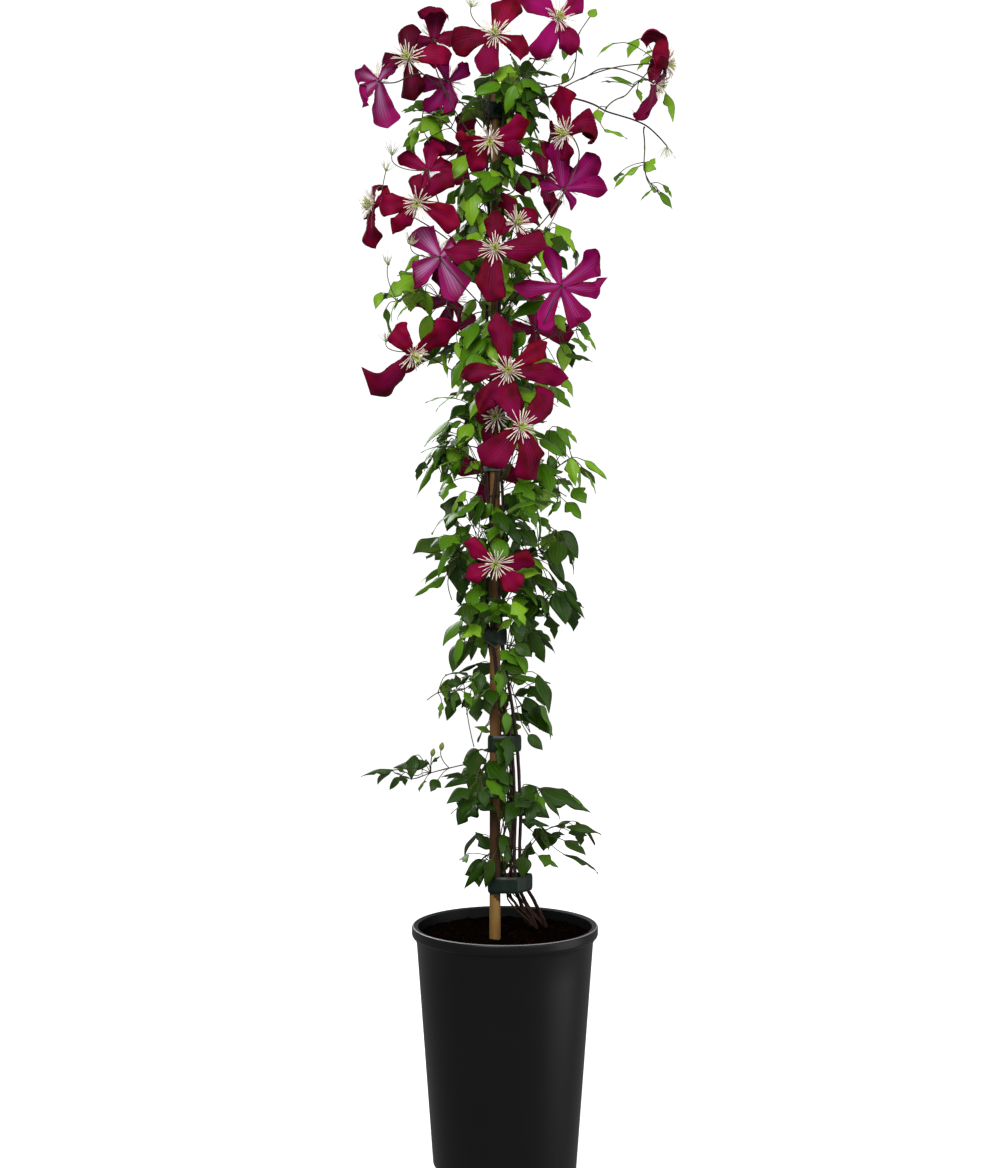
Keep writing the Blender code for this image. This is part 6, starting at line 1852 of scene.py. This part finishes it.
def build_stamens():
    """Bars set a golden turn apart round each flower's middle: stamens first, then styles."""
    rng = np.random.default_rng(STAMEN_SEED)
    share = np.linspace(0, 1, STAMEN_ROWS)
    anther = 0.16 * np.exp(-((share - 0.8) / 0.18) ** 4) * (share < 0.995)
    radii_of = [0.24 - 0.04 * share + anther] * STAMENS + [0.34 - 0.06 * share] * STYLES
    stamen_tone = np.repeat([0, 1], (ANTHER_START, STAMEN_ROWS - 1 - ANTHER_START))
    tones = np.concatenate([np.tile(stamen_tone, STAMENS), np.full((STAMEN_ROWS - 1) * STYLES, 2)])
    lines = []
    for _, centre, facing, _ in FLOWER_ROWS:
        first = square_to((0.3, 0.2, 0.9), facing)
        for number in range(STAMENS + STYLES):
            style = number >= STAMENS
            way = turned_round(facing, first, number * GOLDEN_TURN + rng.uniform(-0.2, 0.2))
            foot, reach, tall = (rng.uniform(*ends) for ends in (STYLE_RANGES if style else STAMEN_RANGES))
            tall = tall if style else tall - 0.5 * reach
            out = foot + reach * share ** 1.25
            up = 0.2 + tall * np.sin(share * math.pi / 2 * rng.uniform(0.8, 1.0))
            lines.append(centre + way * out[:, None] + facing * up[:, None])
    points, faces = bars(lines, radii_of * len(FLOWER_ROWS), STAMEN_SIDES)
    # Cream filaments, matt anthers dusted with pollen, and yellow-green styles
    looks = [new_look("filament_cream", "FFF4EE", 0.55, Specular_IOR_Level=0.3),
             mottled("anther", "FBF0DC", 0.7, "EEDCC0", "FFF8EA", 1.2),
             new_look("style_green", "CBD468", 0.5)]
    wall_tones = np.repeat(np.tile(tones, len(FLOWER_ROWS)), STAMEN_SIDES)
    return mesh_piece("stamens", points, faces, looks, [wall_tones, np.full(len(lines) * 2, 1)])


def build_flower_stalks():
    """A bar along each stalk, swollen at both ends."""
    share = np.linspace(0, 1, FLOWER_STALK_ROWS)
    swell = 1 + 0.9 * hump(share, 1, 0.06) + 0.3 * hump(share, 0, 0.03)
    points, faces = bars(*twigs_of(FLOWER_NODES, FLOWER_STALK_ROWS, 0.55 * swell), 8)
    # Downy flower stalks: wine-brown with olive patches, nearly matt
    look = mottled("flower_stalk", "38231E", 0.55, "2A1814", "4C3A24", 6)
    return mesh_piece("flower_stalks", points, faces, [look])


for piece in (build_stamens(), build_flower_stalks()):
    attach(piece, "root")
    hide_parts(*FLOWER_NODES)

# %% [markdown]
# ## Seed heads and buds
# Flowers that are over leave a small green knob with fine silky tails, on a thin stalk. The stalk leaves
# the nearest shoot or flower stalk and rises in a curve. Two plump closed buds stand on the left.

# %% Seed heads and buds
SEED_HEAD_SEED = 41
SEED_HEADS = ((471, 7), (392, 155), (386, 171), (365, 208), (411, 245), (388, 265), (386, 342), (545, 62))
BUDS = ((432, 756), (441, 750))
SPENT_TUFT = (667, 147)
LOOSE_STALKS = (((470, 699), (467, 716), (474, 747)), ((562, 198), (553, 224), (535, 235)),
                ((524, 103), (520, 95), (524, 88)), ((478, 690), (492, 706), (486, 728)),
                ((497, 655), (516, 668), (512, 690)), ((455, 560), (446, 578), (452, 600)))
STALK_ROWS = 14
STALK_RADIUS_FINE = 0.42
TAILS = 22
TAIL_ROWS = 6
TAIL_RADIUS = 0.17
TAIL_LENGTH = (7.0, 12.5)
# Height and radius of the knob under the tails, and of a closed bud
KNOB, BUD = (3.0, 1.3), (7.0, 2.1)
# Every place on the stalks and shoots that can carry another stalk
TWIG_PLACES = np.vstack([path[1:] for _, path, _ in parts_of(NODES, "twig")])


def rising_stalk(place):
    """A curve to a place in the picture from the nearest spot below it, at that spot's depth."""
    shown = [place_of(spot) for spot in TWIG_PLACES]
    gaps = [np.linalg.norm(spot - place) + 30 * (spot[1] < place[1] + 3) for spot in shown]
    root = TWIG_PLACES[np.argmin(gaps)]
    end = seen(place, root[1] - 4.0)
    span = np.linalg.norm(end - root)
    return bezier(root, root + (end - root) * 0.4 - np.array([0, 0, 0.2 * span]),
                  end - np.array([0.1 * span, 0, 0.35 * span]), end, STALK_ROWS)


def loose_stalk(start, middle, end):
    """A bare stalk through three places in the picture, from the spot nearest to the first."""
    root = min(TWIG_PLACES, key=lambda spot: np.linalg.norm(place_of(spot) - start))
    bend, last = seen(middle, root[1] - 7.0), seen(end, root[1] - 3.0)
    return bezier(root, root + (bend - root) * 0.9, bend + (last - root) * 0.15, last, STALK_ROWS)


def silky_tails(line, rng):
    """Fine tails that spread from the end of a stalk, ahead of it."""
    ahead = unit(line[-1] - line[-2])
    first = square_to((0.3, 0.9, 0.1), ahead)
    share = np.linspace(0, 1, TAIL_ROWS)[:, None]
    tails = []
    for _ in range(TAILS):
        way = turned_round(ahead, first, rng.uniform(0, 2 * math.pi))
        length = rng.uniform(*TAIL_LENGTH)
        tails.append(line[-1] + ahead * share * length * rng.uniform(0.4, 1.0)
                     + way * share ** 0.7 * length * rng.uniform(0.1, 0.8))
    return tails


def knob_on(line, tall, wide):
    """The route and radii of a plump knob on the end of a stalk."""
    share = np.linspace(0, 1, 9)
    route = line[-1] + np.outer(share * tall - 0.5, unit(line[-1] - line[-2]))
    return route, wide * np.sin(math.pi * (0.06 + 0.92 * share)) ** 0.8


def build_seed_heads():
    """Stalks, knobs and silky tails as one piece with a look for each."""
    rng = np.random.default_rng(SEED_HEAD_SEED)
    arch_tip = NODES["arch_bough"][0][1][-1]
    tuft = seen(SPENT_TUFT, arch_tip[1])
    heads = [rising_stalk(place) for place in SEED_HEADS]
    heads.append(arch_tip + (tuft - arch_tip) * np.linspace(0, 1, STALK_ROWS)[:, None])
    buds = [rising_stalk(place) for place in BUDS]
    stalks = heads + buds + [loose_stalk(*places) for places in LOOSE_STALKS]
    tails = [tail for line in heads for tail in silky_tails(line, rng)]
    knobs = [knob_on(line, *KNOB) for line in heads] + [knob_on(line, *BUD) for line in buds]
    parts = (bars(stalks, np.full((len(stalks), STALK_ROWS), STALK_RADIUS_FINE), 6),
             bars(*zip(*knobs), 8),
             bars(tails, np.full((len(tails), TAIL_ROWS), TAIL_RADIUS), 4))
    points, faces, tones = np.zeros((0, 3)), [], []
    for tone, (part_points, part_faces) in enumerate(parts):
        faces += [group + len(points) for group in part_faces]
        tones += [np.full(len(group), tone) for group in part_faces]
        points = np.concatenate([points, part_points])
    # Olive stalks, green knobs and pale silky tails, all nearly matt
    looks = [new_look("seed_stalk", "4A4A26", 0.6), new_look("seed_knob", "7E9040", 0.6),
             new_look("silky_tail", "D2D6B4", 0.5)]
    return mesh_piece("seed_heads", points, faces, looks, tones)


seed_piece = build_seed_heads()
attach(seed_piece, "root")
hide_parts(*FLOWER_NODES)

# %% [markdown]
# ## Studio
# The plant stands on a pale floor before a white wall. Soft light comes from above on the left and from
# the front, with a strip at the right for the pot's edge and a light behind.

# %% Floor, light and camera
# Name, place, height aimed at, size in metres and power in watts
LIGHTS = (("soft_key", (-0.5, -1.75, 1.4), 0.5, (1.0, 1.0), 27),
          ("soft_front_right", (1.1, -1.5, 0.9), 0.5, (0.9, 0.9), 8),
          ("strip_right", (1.6, -0.3, 0.3), 0.25, (1.2, 1.5), 9),
          ("soft_back", (-0.9, 1.5, 1.5), 0.5, (0.9, 0.9), 14))
AIR_LIGHT = 0.25
FLOOR_FLAT, FLOOR_BEND, WALL_TOP = 3400.0, 800.0, 4200.0
CAMERA_LENS, CAMERA_SENSOR = 48.64, 36


def area_light(name, place, aim_height, size, watts):
    """A soft light turned towards the axis at the height aimed at."""
    made = bpy.data.lights.new(name, "AREA")
    made.shape = "RECTANGLE"
    made.size, made.size_y = size
    made.energy = watts
    light = put_in_scene(name, made)
    light.location = place
    way = Vector((0, 0, aim_height)) - Vector(place)
    light.rotation_euler = way.to_track_quat("-Z", "Y").to_euler()


def build_studio():
    """A round floor that curves up into a wall on all sides; it shows white but throws no light back."""
    sides = 96
    profile = np.array([(1.0, 0.0), (900.0, 0.0), *arc((FLOOR_FLAT, FLOOR_BEND), FLOOR_BEND, -90, 0, 14),
                        (FLOOR_FLAT + FLOOR_BEND, WALL_TOP)])
    points = turned_points(profile[:, :1], profile[:, 1:] - 0.4, sides)
    paper = new_look("studio_white", "F2F2F2", 0.95, Specular_IOR_Level=0.1, Emission_Strength=0.8)
    paper.node_tree.nodes["Principled BSDF"].inputs["Emission Color"].default_value = (1, 1, 1, 1)
    floor = mesh_piece("studio_floor", points, [grid_faces(len(profile), sides)[:, ::-1],
                                                np.arange(sides)[None, :]], [paper])
    floor.visible_diffuse = False
    floor.visible_glossy = False


def build_camera():
    """The camera at the picture's viewing point, looking level along +Y."""
    camera = bpy.data.cameras.new("photo_camera")
    camera.lens, camera.sensor_width, camera.clip_end = CAMERA_LENS, CAMERA_SENSOR, 20
    made = put_in_scene("photo_camera", camera)
    made.location = (EYE_X * METRE, EYE_Y * METRE, EYE_Z * METRE)
    made.rotation_euler = (math.pi / 2, 0, 0)
    bpy.context.scene.camera = made


build_studio()
build_camera()
bpy.context.scene.view_settings.view_transform = "Standard"
for row in LIGHTS:
    area_light(*row)
world = bpy.data.worlds.new("studio_air")
bpy.context.scene.world = world
world.use_nodes = True
air = world.node_tree.nodes["Background"].inputs
air["Color"].default_value = (1, 1, 1, 1)
air["Strength"].default_value = AIR_LIGHT
